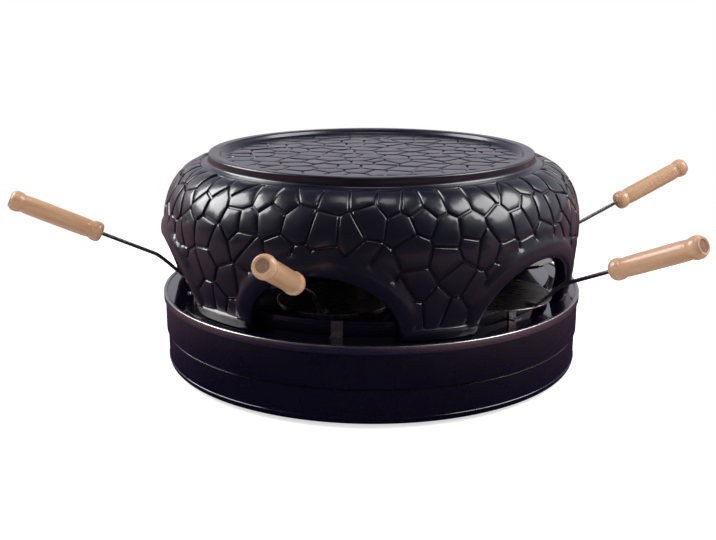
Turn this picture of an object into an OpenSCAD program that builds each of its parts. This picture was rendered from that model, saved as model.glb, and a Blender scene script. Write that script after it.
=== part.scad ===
// Electric table-top pizza maker: a round heated base, a lift-off ceramic dome with six
// arched openings, and four long-handled spatulas lying in four of the openings.
// Millimetres, +Z up. The origin is the centre of the circle the feet stand on.
// The front opening faces -Y, and the switch and the cord entry face +Y.

/* [Base] */
// Outer diameter of the upper band of the base
base_d = 397; // [370:1:430]
// How far the lower band is set in from the upper band
band_step = 1.5; // [0.5:0.1:2.5]
// Height of the top edge of the steel ring above the table
rim_h = 71.7; // [66:0.1:80]
// Height of the step between the two bands above the shell's lower edge
step_h = 31; // [24:0.5:34]
// Gap between the shell's lower edge and the table
shell_lift = 3; // [2:0.1:4]
// Sheet thickness of the base shell
shell_t = 1.6; // [1.2:0.1:2.2]
// Width of the shell's flange that carries the pan
flange_w = 15; // [12:0.5:20]
// Radius of the shell's lower edge
edge_r = 3.5; // [2.5:0.1:4.5]
// Clearance between pieces that slip into each other
slip = 0.2; // [0.1:0.05:0.3]

/* [Steel ring] */
// Height of the steel ring's outer wall
ring_h = 7; // [5:0.1:9]
// Thickness of the steel ring's outer wall
ring_t = 1.3; // [0.8:0.1:1.5]
// Thickness of the lip that holds the pan down
ring_lip_t = 1; // [0.8:0.1:1.4]
// How far the lip reaches over the pan
ring_lip_w = 2.2; // [1.5:0.1:3]

/* [Drip pan] */
// Sheet thickness of the pan
pan_t = 1.2; // [1:0.1:1.6]
// Distance from the baking plate's edge in to the mouth of the heater well
well_margin = 13; // [9:0.5:24]
// Depth of the heater well below the pan's flange
well_depth = 20; // [18:0.5:24]
// How far the well's wall slopes in towards its floor
well_slope = 6; // [3:0.5:9]

/* [Baking plate] */
// Gap between the baking plate's edge and the foot of the dome's inner wall
plate_gap = 4; // [3:0.5:8]
// Height of the baking plate's top above the pan's flange
plate_h = 12.8; // [11:0.1:15]
// Thickness of the baking plate
plate_t = 2.5; // [2:0.1:3.5]
// Thickness of the baking plate's skirt
skirt_t = 1.8; // [1.4:0.1:2.4]
// Bevel along the baking plate's top edge
plate_bevel = 0.7; // [0.4:0.1:1]
// Width of a plate clip
clip_w = 10; // [8:0.5:14]
// Thickness of a plate clip
clip_t = 0.8; // [0.6:0.1:1]
// How far a clip's hook reaches over the plate
clip_hook = 2.6; // [2:0.1:3.5]
// How far a clip's foot reaches over the pan
clip_foot = 6; // [5:0.5:8]
// Angle from the middle of the front opening to the first clip
clip_turn = 3; // [0:0.5:6]
// Angle between the two clips of a pair
clip_spread = 55; // [50:0.5:60]

/* [Dome] */
// Gap between the dome's foot and the steel ring's lip
foot_margin = 7.5; // [6:0.5:10]
// Height of the dome from the pan to the top of its rim
dome_h = 129.3; // [122:0.1:136]
// Wall thickness of the dome
dome_t = 10; // [8.5:0.5:11]
// How far the dome's wall leans out between foot and bulge
bulge_out = 11; // [8:0.5:13]
// Height of the bulge above the pan
bulge_h = 67.3; // [63:0.5:70]
// Width of the rounded shoulder
shoulder_w = 38; // [34:0.5:42]
// Height of the rounded shoulder
shoulder_h = 53; // [50:0.5:53.5]
// Width of the ledge between the shoulder and the rim
ledge_w = 4.5; // [3:0.5:6]
// Width of the raised rim
rim_w = 11; // [8:0.5:14]
// Depth of the serving top below the rim
recess_d = 5; // [3:0.5:6]
// Rounding of the rim's edges
rim_round = 1.5; // [1:0.1:2]

/* [Arches] */
// Number of openings round the dome
arch_count = 6; // [5:1:7]
// Width of an opening
arch_w = 125; // [118:0.5:128]
// Height of an opening's rounded part
arch_rise = 48.6; // [44:0.2:52]
// Height of an opening's straight legs
arch_leg = 7.2; // [5:0.2:10]
// Width of the smooth band at the crown of an opening
band_w_crown = 21.5; // [18:0.5:24]
// Width of the smooth band at the foot of an opening
band_w_foot = 13; // [10:0.5:15]
// How far the smooth bands stand out from the stones
band_out = 4; // [3:0.25:5]
// Height of the smooth band along a pillar's foot
foot_band_h = 11; // [9:0.5:14]

/* [Heaters] */
// Diameter of the heater tube
heater_d = 7; // [6:0.2:8]
// Radius of the lower heater's ring
low_heater_r = 105; // [90:1:125]
// Radius of the upper heater's ring
top_heater_r = 82; // [70:1:95]
// Height of the upper heater above the baking plate
top_heater_h = 75; // [65:1:82]
// Angle left open between the two ends of a heater ring
heater_gap = 16; // [14:1:24]
// Height of the lower heater's centre above the reflector
low_heater_h = 11; // [9:0.5:12]
// Gap between the reflector and the foot of the well's wall
reflector_gap = 6; // [4:0.5:16]
// Height of the reflector's upturned edge
reflector_edge = 5; // [3:0.5:8]
// Sheet thickness of the reflector
reflector_t = 0.8; // [0.6:0.1:1]
// Outer diameter of the centre column
column_d = 26; // [24:0.5:30]
// Wall thickness of the centre column
column_t = 1.5; // [1.2:0.1:2]
// Thickness of the upper heater's spider arms
spider_t = 1.6; // [1.2:0.1:2]
// Width of the upper heater's spider arms
spider_w = 10; // [8:0.5:14]
// How far the lower heater's ends reach below the pan
low_leg = 14; // [12:0.5:16]
// How far the upper heater's ends reach below the pan
top_leg = 20; // [16:0.5:22]
// Length of a heater's flat terminal tab
tab_l = 7; // [5:0.5:9]
// Width of a heater's flat terminal tab
tab_w = 6; // [5:0.2:6.4]

/* [Bottom] */
// Sheet thickness of the bottom cover
cover_t = 1.2; // [1:0.1:1.6]
// Height of the bottom cover's underside above the table
cover_z = 4.6; // [4.4:0.1:5.5]
// Radius of a rubber foot
rubber_r = 9; // [7:0.5:11]
// Distance from the lower band in to the circle the feet stand on
foot_inset = 32; // [24:1:45]
// Distance from the lower band in to the circle the cover screws lie on
screw_inset = 14; // [13:0.5:16]
// Shank diameter of a cover screw
screw_d = 3.2; // [2.8:0.1:3.6]

/* [Switch and cord entry] */
// Height of the switch centre above the table
switch_z = 49; // [48:0.5:50]
// Width of the switch housing behind the bezel
switch_w = 12.8; // [12:0.1:14]
// Height of the switch housing behind the bezel
switch_h = 18.8; // [18:0.1:20]
// Depth of the switch housing behind the bezel
switch_depth = 14; // [12:0.5:17]
// Thickness of the switch bezel
bezel_t = 1.8; // [1.4:0.1:2.4]
// Tilt of the rocker either side of level
rocker_tilt = 8; // [6:0.5:10]
// Angle of the cord entry round the base from the switch
entry_angle = 18; // [14:1:30]
// Height of the cord entry above the table
entry_z = 19; // [17:0.5:21]
// Bore of the cord entry bush
entry_bore_d = 7.2; // [6:0.1:8]

/* [Spatulas] */
// Radius of a spatula's round blade
blade_r = 52; // [46:0.5:54]
// Thickness of a spatula's blade
blade_t = 1.2; // [1:0.1:1.6]
// Diameter of a spatula's rod
rod_d = 3.4; // [3:0.1:4]
// Distance from the blade's centre to the start of the rod's straight part
rod_bend = 79.5; // [77:0.5:84]
// Height of the rod's straight part above the blade at that point
rod_rise = 26; // [22:0.5:28]
// Slope of the rod and the handle, in degrees
rod_slope = 24.2; // [20:0.2:27]
// Distance from the blade's centre to the handle
handle_start = 125; // [118:1:140]
// Length of a handle
handle_l = 85.5; // [75:0.5:95]
// Diameter of a handle between its knobs
handle_d = 16.5; // [14:0.5:18]
// Diameter of the knobs at a handle's ends
knob_d = 20; // [18:0.5:22]
// Diameter of the bare disc of end grain let into a handle's far end
end_disc_d = 10.4; // [6:0.2:12]

/* [Hidden] */
$fn = 96;

// Base levels and radii
upper_r = base_d / 2;
lower_r = upper_r - band_step;
shell_z = shell_lift;
step_z = shell_z + step_h;
pan_z = rim_h - ring_lip_t;              // top face of the pan's flange
flange_z = pan_z - pan_t;                // top face of the shell's flange
ring_in_r = upper_r + slip - ring_lip_w; // inner edge of the steel ring's lip
field_foot_r = ring_in_r - foot_margin - band_out;
plate_r = field_foot_r - dome_t - plate_gap;
plate_z = pan_z + plate_h;
well_r = plate_r - well_margin;          // mouth of the well
well_floor_r = well_r - well_slope;
reflector_r = well_floor_r - reflector_gap;
well_z = pan_z - well_depth;             // top face of the well's floor
floor_z = well_z - pan_t;                // underside of the well's floor
reflector_z = well_z + reflector_t;      // top face of the reflector
stance_r = lower_r - foot_inset;
screw_circle_r = lower_r - screw_inset;
column_r = column_d / 2;
cover_top = cover_z + cover_t;
cover_r = lower_r - 6 - 2 * slip;
heater_r = heater_d / 2;

// Dome levels and radii; the field is the wall that carries the stones
seat_gap = 0.2;
dome_z = pan_z + seat_gap;
dome_top = pan_z + dome_h;
field_bulge_r = field_foot_r + bulge_out;
bulge_z = pan_z + bulge_h;
shoulder_r = field_bulge_r - shoulder_w;
dome_rim_r = shoulder_r - ledge_w;
band_top_z = pan_z + arch_leg + arch_rise + band_w_crown;
serving_z = dome_top - recess_d;
arch_spring_z = pan_z + arch_leg;
arch_near = field_foot_r - 6 * dome_t;   // the openings are cut between these two distances
arch_far = field_bulge_r + 2 * dome_t;
arch_step = 360 / arch_count;
ARCH_DIRS = [for (i = [0 : arch_count - 1]) i * arch_step];
CLIP_DIRS = [for (i = [0 : 2]) each [clip_turn + i * 120, clip_turn + i * 120 + clip_spread]];

// Heater levels
low_heater_z = reflector_z + low_heater_h;
top_heater_z = plate_z + top_heater_h;
column_top = top_heater_z + heater_r + 4;
nut_h = 5;
leg_x = heater_r + 0.8;                  // half the distance between the upper heater's legs
bush_neck_r = heater_r + 1.8;
bush_flange_r = bush_neck_r + 2.2;
BRACKET_DIRS = [75, 180, 285];
SPIDER_DIRS = [60, 180, 300];

// Electrics hung under the pan
control_r = 62;                          // circle of the thermostat and the thermal fuse
terminal_r = reflector_r + 4;            // distance of the terminal block

// Bottom
FOOT_DIRS = [45, 135, 225, 315];
spigot_r = 3;
lug_r = 4.5;
lug_h = 10;

// Switch and cord entry
pad_w = switch_w + 12;
pad_h = switch_h + 7;
pad_y = upper_r + 0.6;
bezel_w = switch_w + 3;
bezel_h = switch_h + 3;
rocker_w = switch_w - 3;
rocker_h = switch_h - 3;
rocker_pivot_y = pad_y + bezel_t - 3;
rocker_pin_r = 1.2;
rocker_gap = 0.4;
entry_dir = 180 + entry_angle;
boss_t = 3.6;                            // thickness of the flat boss round the cord entry
boss_out = 0.6;                          // how far that boss stands out of the lower band
entry_neck_r = entry_bore_d / 2 + 2;
entry_flange_r = entry_neck_r + 3;

// Spatulas: opening, distance of the blade's centre from the axis, offset to the side, twist
LEFT = [-arch_step, plate_r - 43, 0, -7];
FRONT = [0, plate_r - 61, -7, 0];
RIGHT = [arch_step, plate_r - 29, 5, -6];
REAR = [2 * arch_step, plate_r - 27, 5, 0];
blade_gap = 0.3;
blade_z = plate_z + blade_gap;
blade_top = blade_z + blade_t;
rod_r = rod_d / 2;
rod_foot_h = 2;                          // thickness of the rod's flattened end on the blade
rod_bore_depth = 34;
weld_gap = 0.05;

// ---------------------------------------------------------------- profiles and helpers

// Points of an arc about (x, y) from angle a to angle b
function arc(x, y, r, a, b, n = 6) =
    [for (i = [0 : n]) [x + r * cos(a + (b - a) * i / n), y + r * sin(a + (b - a) * i / n)]];

// Radius of the stone field between foot and bulge
function field_r(z) = field_bulge_r - bulge_out * pow((bulge_z - z) / bulge_h, 2);

// Outline of the dome's wall, moved in by t
function wall_points(t, z_low, n_wall = 6, n_shoulder = 12) = concat(
    [for (i = [0 : n_wall]) let (z = z_low + (bulge_z - z_low) * i / n_wall) [field_r(z) - t, z]],
    [for (i = [1 : n_shoulder]) let (a = 90 * i / n_shoulder)
        [shoulder_r + (shoulder_w - t) * cos(a), bulge_z + (shoulder_h - t) * sin(a)]]);

// Outline of an opening, and of the smooth band round it
function arch_points(grow_foot, grow_crown, bottom, n = 24) = concat(
    [[arch_w / 2 + grow_foot, bottom]],
    [for (i = [0 : n]) let (a = 180 * i / n, w = grow_foot + (grow_crown - grow_foot) * sqrt(sin(a)),
            nx = cos(a) * arch_rise, nz = sin(a) * arch_w / 2, len = norm([nx, nz]))
        [arch_w / 2 * cos(a) + w * nx / len, arch_spring_z + arch_rise * sin(a) + w * nz / len]],
    [[-arch_w / 2 - grow_foot, bottom]]);

// Children turned to face one opening; at 0 they face -Y
module at_dirs(dirs) {
    for (d = dirs) rotate([0, 0, d]) children();
}

// A prism along -Y with the given X-Z outline, between two distances from the axis
module radial_prism(points, near, far) {
    translate([0, -near, 0])
        rotate([90, 0, 0])
            linear_extrude(far - near) polygon(points);
}

// A ring of tube in the X-Y plane, left open by the heater's gap about -Y
module open_ring(r, z) {
    translate([0, 0, z])
        rotate([0, 0, -90 + heater_gap / 2])
            rotate_extrude(angle = 360 - heater_gap) translate([r, 0]) circle(heater_r, $fn = 32);
}

// Both ends of a heater ring
module at_ring_ends(r) {
    for (side = [-1, 1]) rotate([0, 0, side * heater_gap / 2]) translate([0, -r, 0]) children();
}

// Children on the cord entry's axis: z = 0 is the boss's face and +Z points out of the base
module at_entry() {
    rotate([0, 0, entry_dir])
        translate([0, -lower_r - boss_out, entry_z])
            rotate([90, 0, 0]) children();
}

// ---------------------------------------------------------------- base

module base_shell() {
    color([0.07, 0.065, 0.07])
    difference() {
        union() {
            rotate_extrude($fn = 180) polygon(concat(
                [[lower_r - 6, shell_z]],
                arc(lower_r - edge_r, shell_z + edge_r, edge_r, -90, 0),
                [[lower_r, shell_z + 4.6], [lower_r + 0.5, shell_z + 5], [lower_r + 0.5, shell_z + 5.6],
                 [lower_r, shell_z + 6], [lower_r, step_z - 1.2], [lower_r - 0.7, step_z - 0.6],
                 [lower_r - 0.7, step_z], [upper_r, step_z + 0.8], [upper_r, flange_z],
                 [upper_r - flange_w, flange_z], [upper_r - flange_w, flange_z - shell_t],
                 [upper_r - shell_t, flange_z - shell_t], [upper_r - shell_t, step_z + 2],
                 [lower_r - shell_t - 0.7, step_z - 1], [lower_r - shell_t - 0.7, shell_z + edge_r],
                 [lower_r - edge_r, shell_z + shell_t], [lower_r - 6, shell_z + shell_t]]));
            // lugs for the cover screws
            at_dirs(ARCH_DIRS) rotate([0, 0, arch_step / 2]) {
                translate([0, -screw_circle_r, cover_top]) cylinder(r = lug_r, h = lug_h);
                translate([-lug_r / 2, -lower_r + shell_t / 2, cover_top])
                    cube([lug_r, lower_r - shell_t / 2 - screw_circle_r, lug_h]);
            }
            // flat pad for the switch
            translate([-pad_w / 2, upper_r - shell_t - 1, switch_z - pad_h / 2])
                cube([pad_w, pad_y - upper_r + shell_t + 1, pad_h]);
            // flat boss for the cord entry
            at_entry() translate([0, 0, -boss_t]) cylinder(r = entry_flange_r + 1, h = boss_t);
        }
        at_dirs(ARCH_DIRS) rotate([0, 0, arch_step / 2])
            translate([0, -screw_circle_r, cover_top - 1]) cylinder(d = screw_d + 0.1, h = lug_h);
        translate([-switch_w / 2 - slip, upper_r - 20, switch_z - switch_h / 2 - slip])
            cube([switch_w + 2 * slip, 40, switch_h + 2 * slip]);
        at_entry() translate([0, 0, -boss_t - 10]) cylinder(r = entry_neck_r + slip, h = boss_t + 20);
    }
}

module trim_ring() {
    out_r = upper_r + slip + ring_t;
    fold = ring_t * 0.8;
    color([0.78, 0.76, 0.74])
    rotate_extrude($fn = 180) polygon(concat(
        [[upper_r + slip, rim_h - ring_h], [out_r - 0.3, rim_h - ring_h], [out_r, rim_h - ring_h + 0.3]],
        arc(out_r - fold, rim_h - fold, fold, 0, 90),
        [[ring_in_r + 0.4, rim_h], [ring_in_r, rim_h - 0.4], [ring_in_r, pan_z], [upper_r + slip, pan_z]]));
}

module drip_pan() {
    floor_r = well_floor_r;
    edge = upper_r;
    color([0.02, 0.02, 0.03])
    difference() {
        rotate_extrude($fn = 180) polygon([
            [edge, pan_z], [well_r + 2, pan_z], [well_r, pan_z - 2], [floor_r, well_z + 2],
            [floor_r - 2, well_z], [0, well_z], [0, floor_z], [floor_r - 2, floor_z],
            [floor_r + pan_t, well_z + 1.2], [well_r + pan_t, pan_z - 2.4],
            [well_r + 2.4, flange_z], [edge, flange_z]]);
        translate([0, 0, floor_z - 1]) cylinder(r = column_r + slip, h = pan_t + 2);
        at_ring_ends(low_heater_r) translate([0, 0, floor_z - 1])
            cylinder(r = bush_neck_r + slip, h = pan_t + 2, $fn = 48);
    }
}

module baking_plate() {
    color([0.04, 0.04, 0.045])
    difference() {
        rotate_extrude($fn = 180) polygon([
            [plate_r - skirt_t, pan_z], [plate_r, pan_z], [plate_r, plate_z - plate_bevel],
            [plate_r - plate_bevel, plate_z], [column_r + slip, plate_z],
            [column_r + slip, plate_z - plate_t], [plate_r - skirt_t - 2, plate_z - plate_t],
            [plate_r - skirt_t, plate_z - plate_t - 2]]);
        // notches that the clips' hooks lie in
        at_dirs(CLIP_DIRS) translate([-clip_w / 2 - slip, -plate_r - 1, plate_z - clip_t - slip])
            cube([clip_w + 2 * slip, clip_hook + slip + 1, clip_t + slip + 1]);
    }
}

module plate_clips() {
    clip_top = plate_z - slip;
    bend_r = slip;
    bend_top = clip_top - clip_t - bend_r;
    bend_low = pan_z + clip_t + bend_r;
    // side view of a strap: distance out of its inner face, height
    strap = concat(
        [[-slip - clip_hook, clip_top]],
        arc(-bend_r, bend_top, bend_r + clip_t, 90, 0),
        arc(clip_t + bend_r, bend_low, bend_r, 180, 270),
        [[clip_t + clip_foot, pan_z + clip_t], [clip_t + clip_foot, pan_z]],
        arc(clip_t + bend_r, bend_low, bend_r + clip_t, 270, 180),
        arc(-bend_r, bend_top, bend_r, 0, 90),
        [[-slip - clip_hook, clip_top - clip_t]]);
    color([0.72, 0.71, 0.7])
    at_dirs(CLIP_DIRS) translate([0, -plate_r - slip, 0]) {
        translate([-clip_w / 2, 0, 0])
            rotate([90, 0, 90]) linear_extrude(clip_w) polygon([for (p = strap) [-p[0], p[1]]]);
        // rivet through the foot
        translate([0, -clip_t - clip_foot / 2, pan_z + clip_t / 2])
            cylinder(r1 = 1.9, r2 = 1.4, h = clip_t / 2 + 0.6, $fn = 32);
    }
}

// ---------------------------------------------------------------- heating

module heat_reflector() {
    color([0.8, 0.8, 0.82])
    difference() {
        rotate_extrude($fn = 180) polygon([
            [0, well_z], [reflector_r - 4, well_z], [reflector_r, well_z + reflector_edge],
            [reflector_r - reflector_t, well_z + reflector_edge],
            [reflector_r - 4 - reflector_t / 2, reflector_z], [0, reflector_z]]);
        translate([0, 0, well_z - 1]) cylinder(r = column_r + slip, h = 3);
        at_ring_ends(low_heater_r) translate([0, 0, well_z - 1])
            cylinder(r = bush_neck_r + slip, h = 3, $fn = 48);
    }
}

module lower_heater() {
    leg_bottom = floor_z - low_leg;
    color([0.3, 0.28, 0.27])
    union() {
        open_ring(low_heater_r, low_heater_z);
        at_ring_ends(low_heater_r) {
            translate([0, 0, low_heater_z]) sphere(heater_r + 0.35, $fn = 40);
            translate([0, 0, leg_bottom])
                cylinder(r = heater_r - 0.2, h = low_heater_z - leg_bottom, $fn = 40);
            translate([-tab_w / 2, -0.4, leg_bottom - tab_l]) cube([tab_w, 0.8, tab_l + 2]);
        }
    }
}

module heater_brackets() {
    strap_t = 1;
    strap_w = 9;
    saddle = heater_r + 0.1;
    color([0.62, 0.62, 0.64])
    at_dirs(BRACKET_DIRS) translate([0, -low_heater_r, 0])
        rotate([90, 0, 90]) translate([0, 0, -strap_w / 2]) linear_extrude(strap_w) difference() {
            union() {
                translate([-saddle - strap_t, reflector_z])
                    square([2 * (saddle + strap_t), low_heater_z - reflector_z]);
                translate([-saddle - 6, reflector_z]) square([2 * saddle + 12, strap_t]);
            }
            translate([0, low_heater_z]) circle(saddle, $fn = 40);
            translate([-saddle + strap_t, reflector_z + strap_t])
                square([2 * (saddle - strap_t), low_heater_h - saddle - 2 * strap_t]);
        }
}

module heater_bushes() {
    color([0.9, 0.88, 0.82])
    at_ring_ends(low_heater_r) difference() {
        union() {
            translate([0, 0, floor_z - 9]) cylinder(r = bush_flange_r, h = 9, $fn = 48);
            translate([0, 0, floor_z - 0.5])
                cylinder(r = bush_neck_r, h = reflector_z - floor_z + 2, $fn = 48);
        }
        translate([0, 0, floor_z - 10]) cylinder(r = heater_r, h = 20, $fn = 48);
    }
}

module center_column() {
    collar_h = 3;
    color([0.66, 0.66, 0.68])
    difference() {
        union() {
            translate([0, 0, floor_z - nut_h - 3])
                cylinder(r = column_r, h = column_top - floor_z + nut_h + 3);
            translate([0, 0, reflector_z]) cylinder(r = column_r + 5, h = collar_h);
        }
        translate([0, 0, floor_z - nut_h - 4])
            cylinder(r = column_r - column_t, h = column_top - floor_z + nut_h + 6);
        // slots that the upper heater leaves through
        translate([-2 * leg_x, -column_r - 1, top_heater_z - heater_r - 1])
            cube([4 * leg_x, column_r + 1, column_top - top_heater_z + heater_r + 2]);
    }
}

module column_nut() {
    color([0.6, 0.6, 0.62])
    translate([0, 0, floor_z - nut_h]) difference() {
        cylinder(r = column_r + 6, h = nut_h, $fn = 6);
        translate([0, 0, -1]) cylinder(r = column_r + 0.05, h = nut_h + 2);
    }
}

module upper_heater() {
    leg_bottom = floor_z - top_leg;
    end_x = top_heater_r * sin(heater_gap / 2);
    end_y = top_heater_r * cos(heater_gap / 2);
    color([0.3, 0.28, 0.27])
    union() {
        open_ring(top_heater_r, top_heater_z);
        for (side = [-1, 1]) {
            // leg up the column, arm out to the ring, knuckles at both bends
            translate([side * leg_x, 0, leg_bottom])
                cylinder(r = heater_r - 0.2, h = top_heater_z - leg_bottom, $fn = 40);
            translate([side * leg_x, 0, top_heater_z]) sphere(heater_r + 0.35, $fn = 40);
            translate([side * leg_x, 0, top_heater_z])
                rotate([90, 0, side * atan2(end_x - leg_x, end_y)])
                    cylinder(r = heater_r - 0.2, h = norm([end_x - leg_x, end_y]), $fn = 40);
            translate([side * end_x, -end_y, top_heater_z]) sphere(heater_r + 0.35, $fn = 40);
            translate([side * leg_x - tab_w / 2, -0.4, leg_bottom - tab_l])
                cube([tab_w, 0.8, tab_l + 2]);
        }
    }
}

module heater_spider() {
    hub_h = 6;
    spider_z = top_heater_z - heater_r - spider_t;
    color([0.62, 0.62, 0.64])
    difference() {
        union() {
            translate([0, 0, spider_z - hub_h]) cylinder(r = column_r + 2, h = hub_h + spider_t);
            at_dirs(SPIDER_DIRS) {
                translate([-spider_w / 2, -top_heater_r - heater_r - 2, spider_z])
                    cube([spider_w, top_heater_r + heater_r + 2, spider_t]);
                translate([-spider_w / 2, -top_heater_r - heater_r - 2, spider_z])
                    cube([spider_w, spider_t, spider_t + heater_r]);
            }
        }
        translate([0, 0, spider_z - hub_h - 1]) cylinder(r = column_r + slip / 2, h = hub_h + spider_t + 2);
    }
}

module column_cap() {
    cap_h = 4;
    color([0.7, 0.7, 0.72])
    union() {
        translate([0, 0, column_top]) cylinder(r1 = column_r + 1.5, r2 = column_r - 1, h = cap_h);
        translate([0, 0, column_top - 2.5]) cylinder(r = column_r - column_t - slip, h = 3);
        translate([0, 0, column_top + cap_h - 0.5]) cylinder(r1 = 3.6, r2 = 2.6, h = 2.6, $fn = 40);
    }
}

// ---------------------------------------------------------------- electrics under the pan

module thermostat() {
    can_r = 8;
    color([0.75, 0.74, 0.7])
    rotate([0, 0, 150]) translate([0, -control_r, 0]) union() {
        translate([0, 0, floor_z - 6]) cylinder(r = can_r, h = 6, $fn = 48);
        translate([0, 0, floor_z - 11]) cylinder(r = can_r - 1.5, h = 5.5, $fn = 48);
        translate([-12, -3, floor_z - 1]) cube([24, 6, 1]);
        for (x = [-4, 4]) translate([x - 0.4, -3.1, floor_z - 18]) cube([0.8, 6.2, 8]);
    }
}

module thermal_fuse() {
    color([0.85, 0.83, 0.78])
    rotate([0, 0, 205]) translate([0, -control_r, floor_z - 3.2]) union() {
        translate([-14, 0, 0]) rotate([0, 90, 0]) cylinder(r = 2.4, h = 28, $fn = 40);
        translate([-4, -2.9, -2.9]) cube([8, 5.8, 6.1]);
        translate([-22, 0, 0]) rotate([0, 90, 0]) cylinder(r = 0.7, h = 44, $fn = 24);
    }
}

module terminal_block() {
    block_l = 34;
    block_w = 18;
    block_h = 14;
    color([0.9, 0.89, 0.85])
    rotate([0, 0, entry_dir]) translate([-block_l / 2, -terminal_r, cover_top]) difference() {
        union() {
            cube([block_l, block_w, block_h - 4]);
            for (i = [0 : 2]) translate([1.5 + i * 11, 2, 0]) cube([9, block_w - 4, block_h]);
        }
        for (i = [0 : 2]) translate([6 + i * 11, 0, 0]) {
            translate([0, -1, 6]) rotate([-90, 0, 0]) cylinder(r = 2, h = block_w + 2, $fn = 32);
            for (y = [5, block_w - 5]) translate([0, y, 7]) cylinder(r = 1.8, h = block_h, $fn = 32);
        }
    }
}

// ---------------------------------------------------------------- bottom

module bottom_cover() {
    slot_l = 26;
    slot_w = 3.5;
    color([0.2, 0.2, 0.21])
    difference() {
        translate([0, 0, cover_z]) cylinder(r = cover_r, h = cover_t, $fn = 180);
        at_dirs(FOOT_DIRS) translate([0, -stance_r, cover_z - 1])
            cylinder(r = spigot_r + 0.1, h = cover_t + 2, $fn = 40);
        at_dirs(ARCH_DIRS) rotate([0, 0, arch_step / 2]) translate([0, -screw_circle_r, cover_z - 1])
            cylinder(d = screw_d + 0.4, h = cover_t + 2, $fn = 40);
        // vent slots under the heater
        at_dirs([for (i = [0 : 23]) i * 15]) translate([-slot_w / 2, -low_heater_r - slot_l / 2, cover_z - 1])
            cube([slot_w, slot_l, cover_t + 2]);
    }
}

module rubber_feet() {
    color([0.05, 0.05, 0.05])
    at_dirs(FOOT_DIRS) translate([0, -stance_r, 0]) union() {
        cylinder(r1 = rubber_r - 1.5, r2 = rubber_r, h = cover_z);
        translate([0, 0, cover_z - 0.5]) cylinder(r = spigot_r, h = cover_t + 1, $fn = 40);
        translate([0, 0, cover_top]) cylinder(r1 = spigot_r + 1.2, r2 = spigot_r - 0.8, h = 3, $fn = 40);
    }
}

module cover_screws() {
    head_h = 2;
    color([0.6, 0.6, 0.62])
    at_dirs(ARCH_DIRS) rotate([0, 0, arch_step / 2]) translate([0, -screw_circle_r, 0]) difference() {
        union() {
            translate([0, 0, cover_z - head_h]) cylinder(r1 = 2.4, r2 = 3.1, h = head_h, $fn = 40);
            translate([0, 0, cover_z - 0.5]) cylinder(d = screw_d, h = cover_t + 8, $fn = 40);
        }
        for (a = [0, 90]) rotate([0, 0, a])
            translate([-1.9, -0.35, cover_z - head_h - 1]) cube([3.8, 0.7, 2]);
    }
}

// ---------------------------------------------------------------- switch and cord entry

module switch_housing() {
    color([0.05, 0.05, 0.055])
    difference() {
        union() {
            translate([-switch_w / 2, pad_y - switch_depth, switch_z - switch_h / 2])
                cube([switch_w, switch_depth + 0.5, switch_h]);
            translate([-bezel_w / 2, pad_y, switch_z - bezel_h / 2]) cube([bezel_w, bezel_t, bezel_h]);
            for (z = [-5, 5]) translate([-3.2, pad_y - switch_depth - 7, switch_z + z - 0.4])
                cube([6.4, 8, 0.8]);
        }
        translate([-rocker_w / 2 - rocker_gap, pad_y - 6, switch_z - rocker_h / 2 - rocker_gap])
            cube([rocker_w + 2 * rocker_gap, 7 + bezel_t, rocker_h + 2 * rocker_gap]);
        translate([-switch_w / 2 + 0.3, rocker_pivot_y, switch_z]) rotate([0, 90, 0])
            cylinder(r = rocker_pin_r + 0.05, h = switch_w - 0.6, $fn = 40);
    }
}

module switch_rocker() {
    crown_r = 46;
    pin_l = rocker_w + 2 * rocker_gap + 1.4;
    color([0.5, 0.05, 0.04])
    translate([0, rocker_pivot_y, switch_z]) rotate([rocker_tilt, 0, 0]) union() {
        translate([-rocker_w / 2, 0, 0]) rotate([90, 0, 90]) linear_extrude(rocker_w) difference() {
            translate([-1.6, -rocker_h / 2 + 0.5]) square([5.4, rocker_h - 1]);
            // the two faces meet in a shallow hollow
            translate([3.2 + crown_r, 0]) circle(crown_r, $fn = 120);
        }
        translate([-pin_l / 2, 0, 0]) rotate([0, 90, 0]) cylinder(r = rocker_pin_r, h = pin_l, $fn = 40);
    }
}

module cord_gland() {
    color([0.06, 0.06, 0.06])
    at_entry() difference() {
        union() {
            cylinder(r = entry_flange_r, h = 2, $fn = 64);
            translate([0, 0, 1.5])
                cylinder(r1 = entry_flange_r - 1, r2 = entry_neck_r - 0.4, h = 5.5, $fn = 64);
            translate([0, 0, -14]) cylinder(r = entry_neck_r, h = 15, $fn = 64);
        }
        translate([0, 0, -15]) cylinder(d = entry_bore_d, h = 24, $fn = 64);
    }
}

module gland_nut() {
    nut_t = 4;
    color([0.1, 0.1, 0.1])
    at_entry() translate([0, 0, -boss_t - nut_t]) difference() {
        cylinder(r = entry_neck_r + 4, h = nut_t, $fn = 6);
        translate([0, 0, -1]) cylinder(r = entry_neck_r + 0.05, h = nut_t + 2, $fn = 64);
    }
}

// ---------------------------------------------------------------- dome

// Radius of the dome's wall at any height below its shoulder's top
function wall_r(z) = z <= bulge_z ? field_r(z)
    : shoulder_r + shoulder_w * sqrt(1 - pow((z - bulge_z) / shoulder_h, 2));

// How far a smooth band stands out: full below the bulge, fading towards the crown
function smooth(t) = t <= 0 ? 0 : t >= 1 ? 1 : t * t * (3 - 2 * t);
function band_stand(z) = band_out * (1 - 0.7 * smooth((z - bulge_z + 8) / (band_top_z - bulge_z + 8)));

// A ring on the wall between two heights, standing out as the bands do
module band_ring(z_low, z_high, n = 10) {
    root = 3;
    heights = [for (i = [0 : n]) z_low + (z_high - z_low) * i / n];
    rotate_extrude($fn = 180) polygon(concat(
        [for (z = heights) [wall_r(z) + band_stand(z), z]],
        [for (i = [n : -1 : 0]) [wall_r(heights[i]) - root, heights[i]]]));
}

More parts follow.
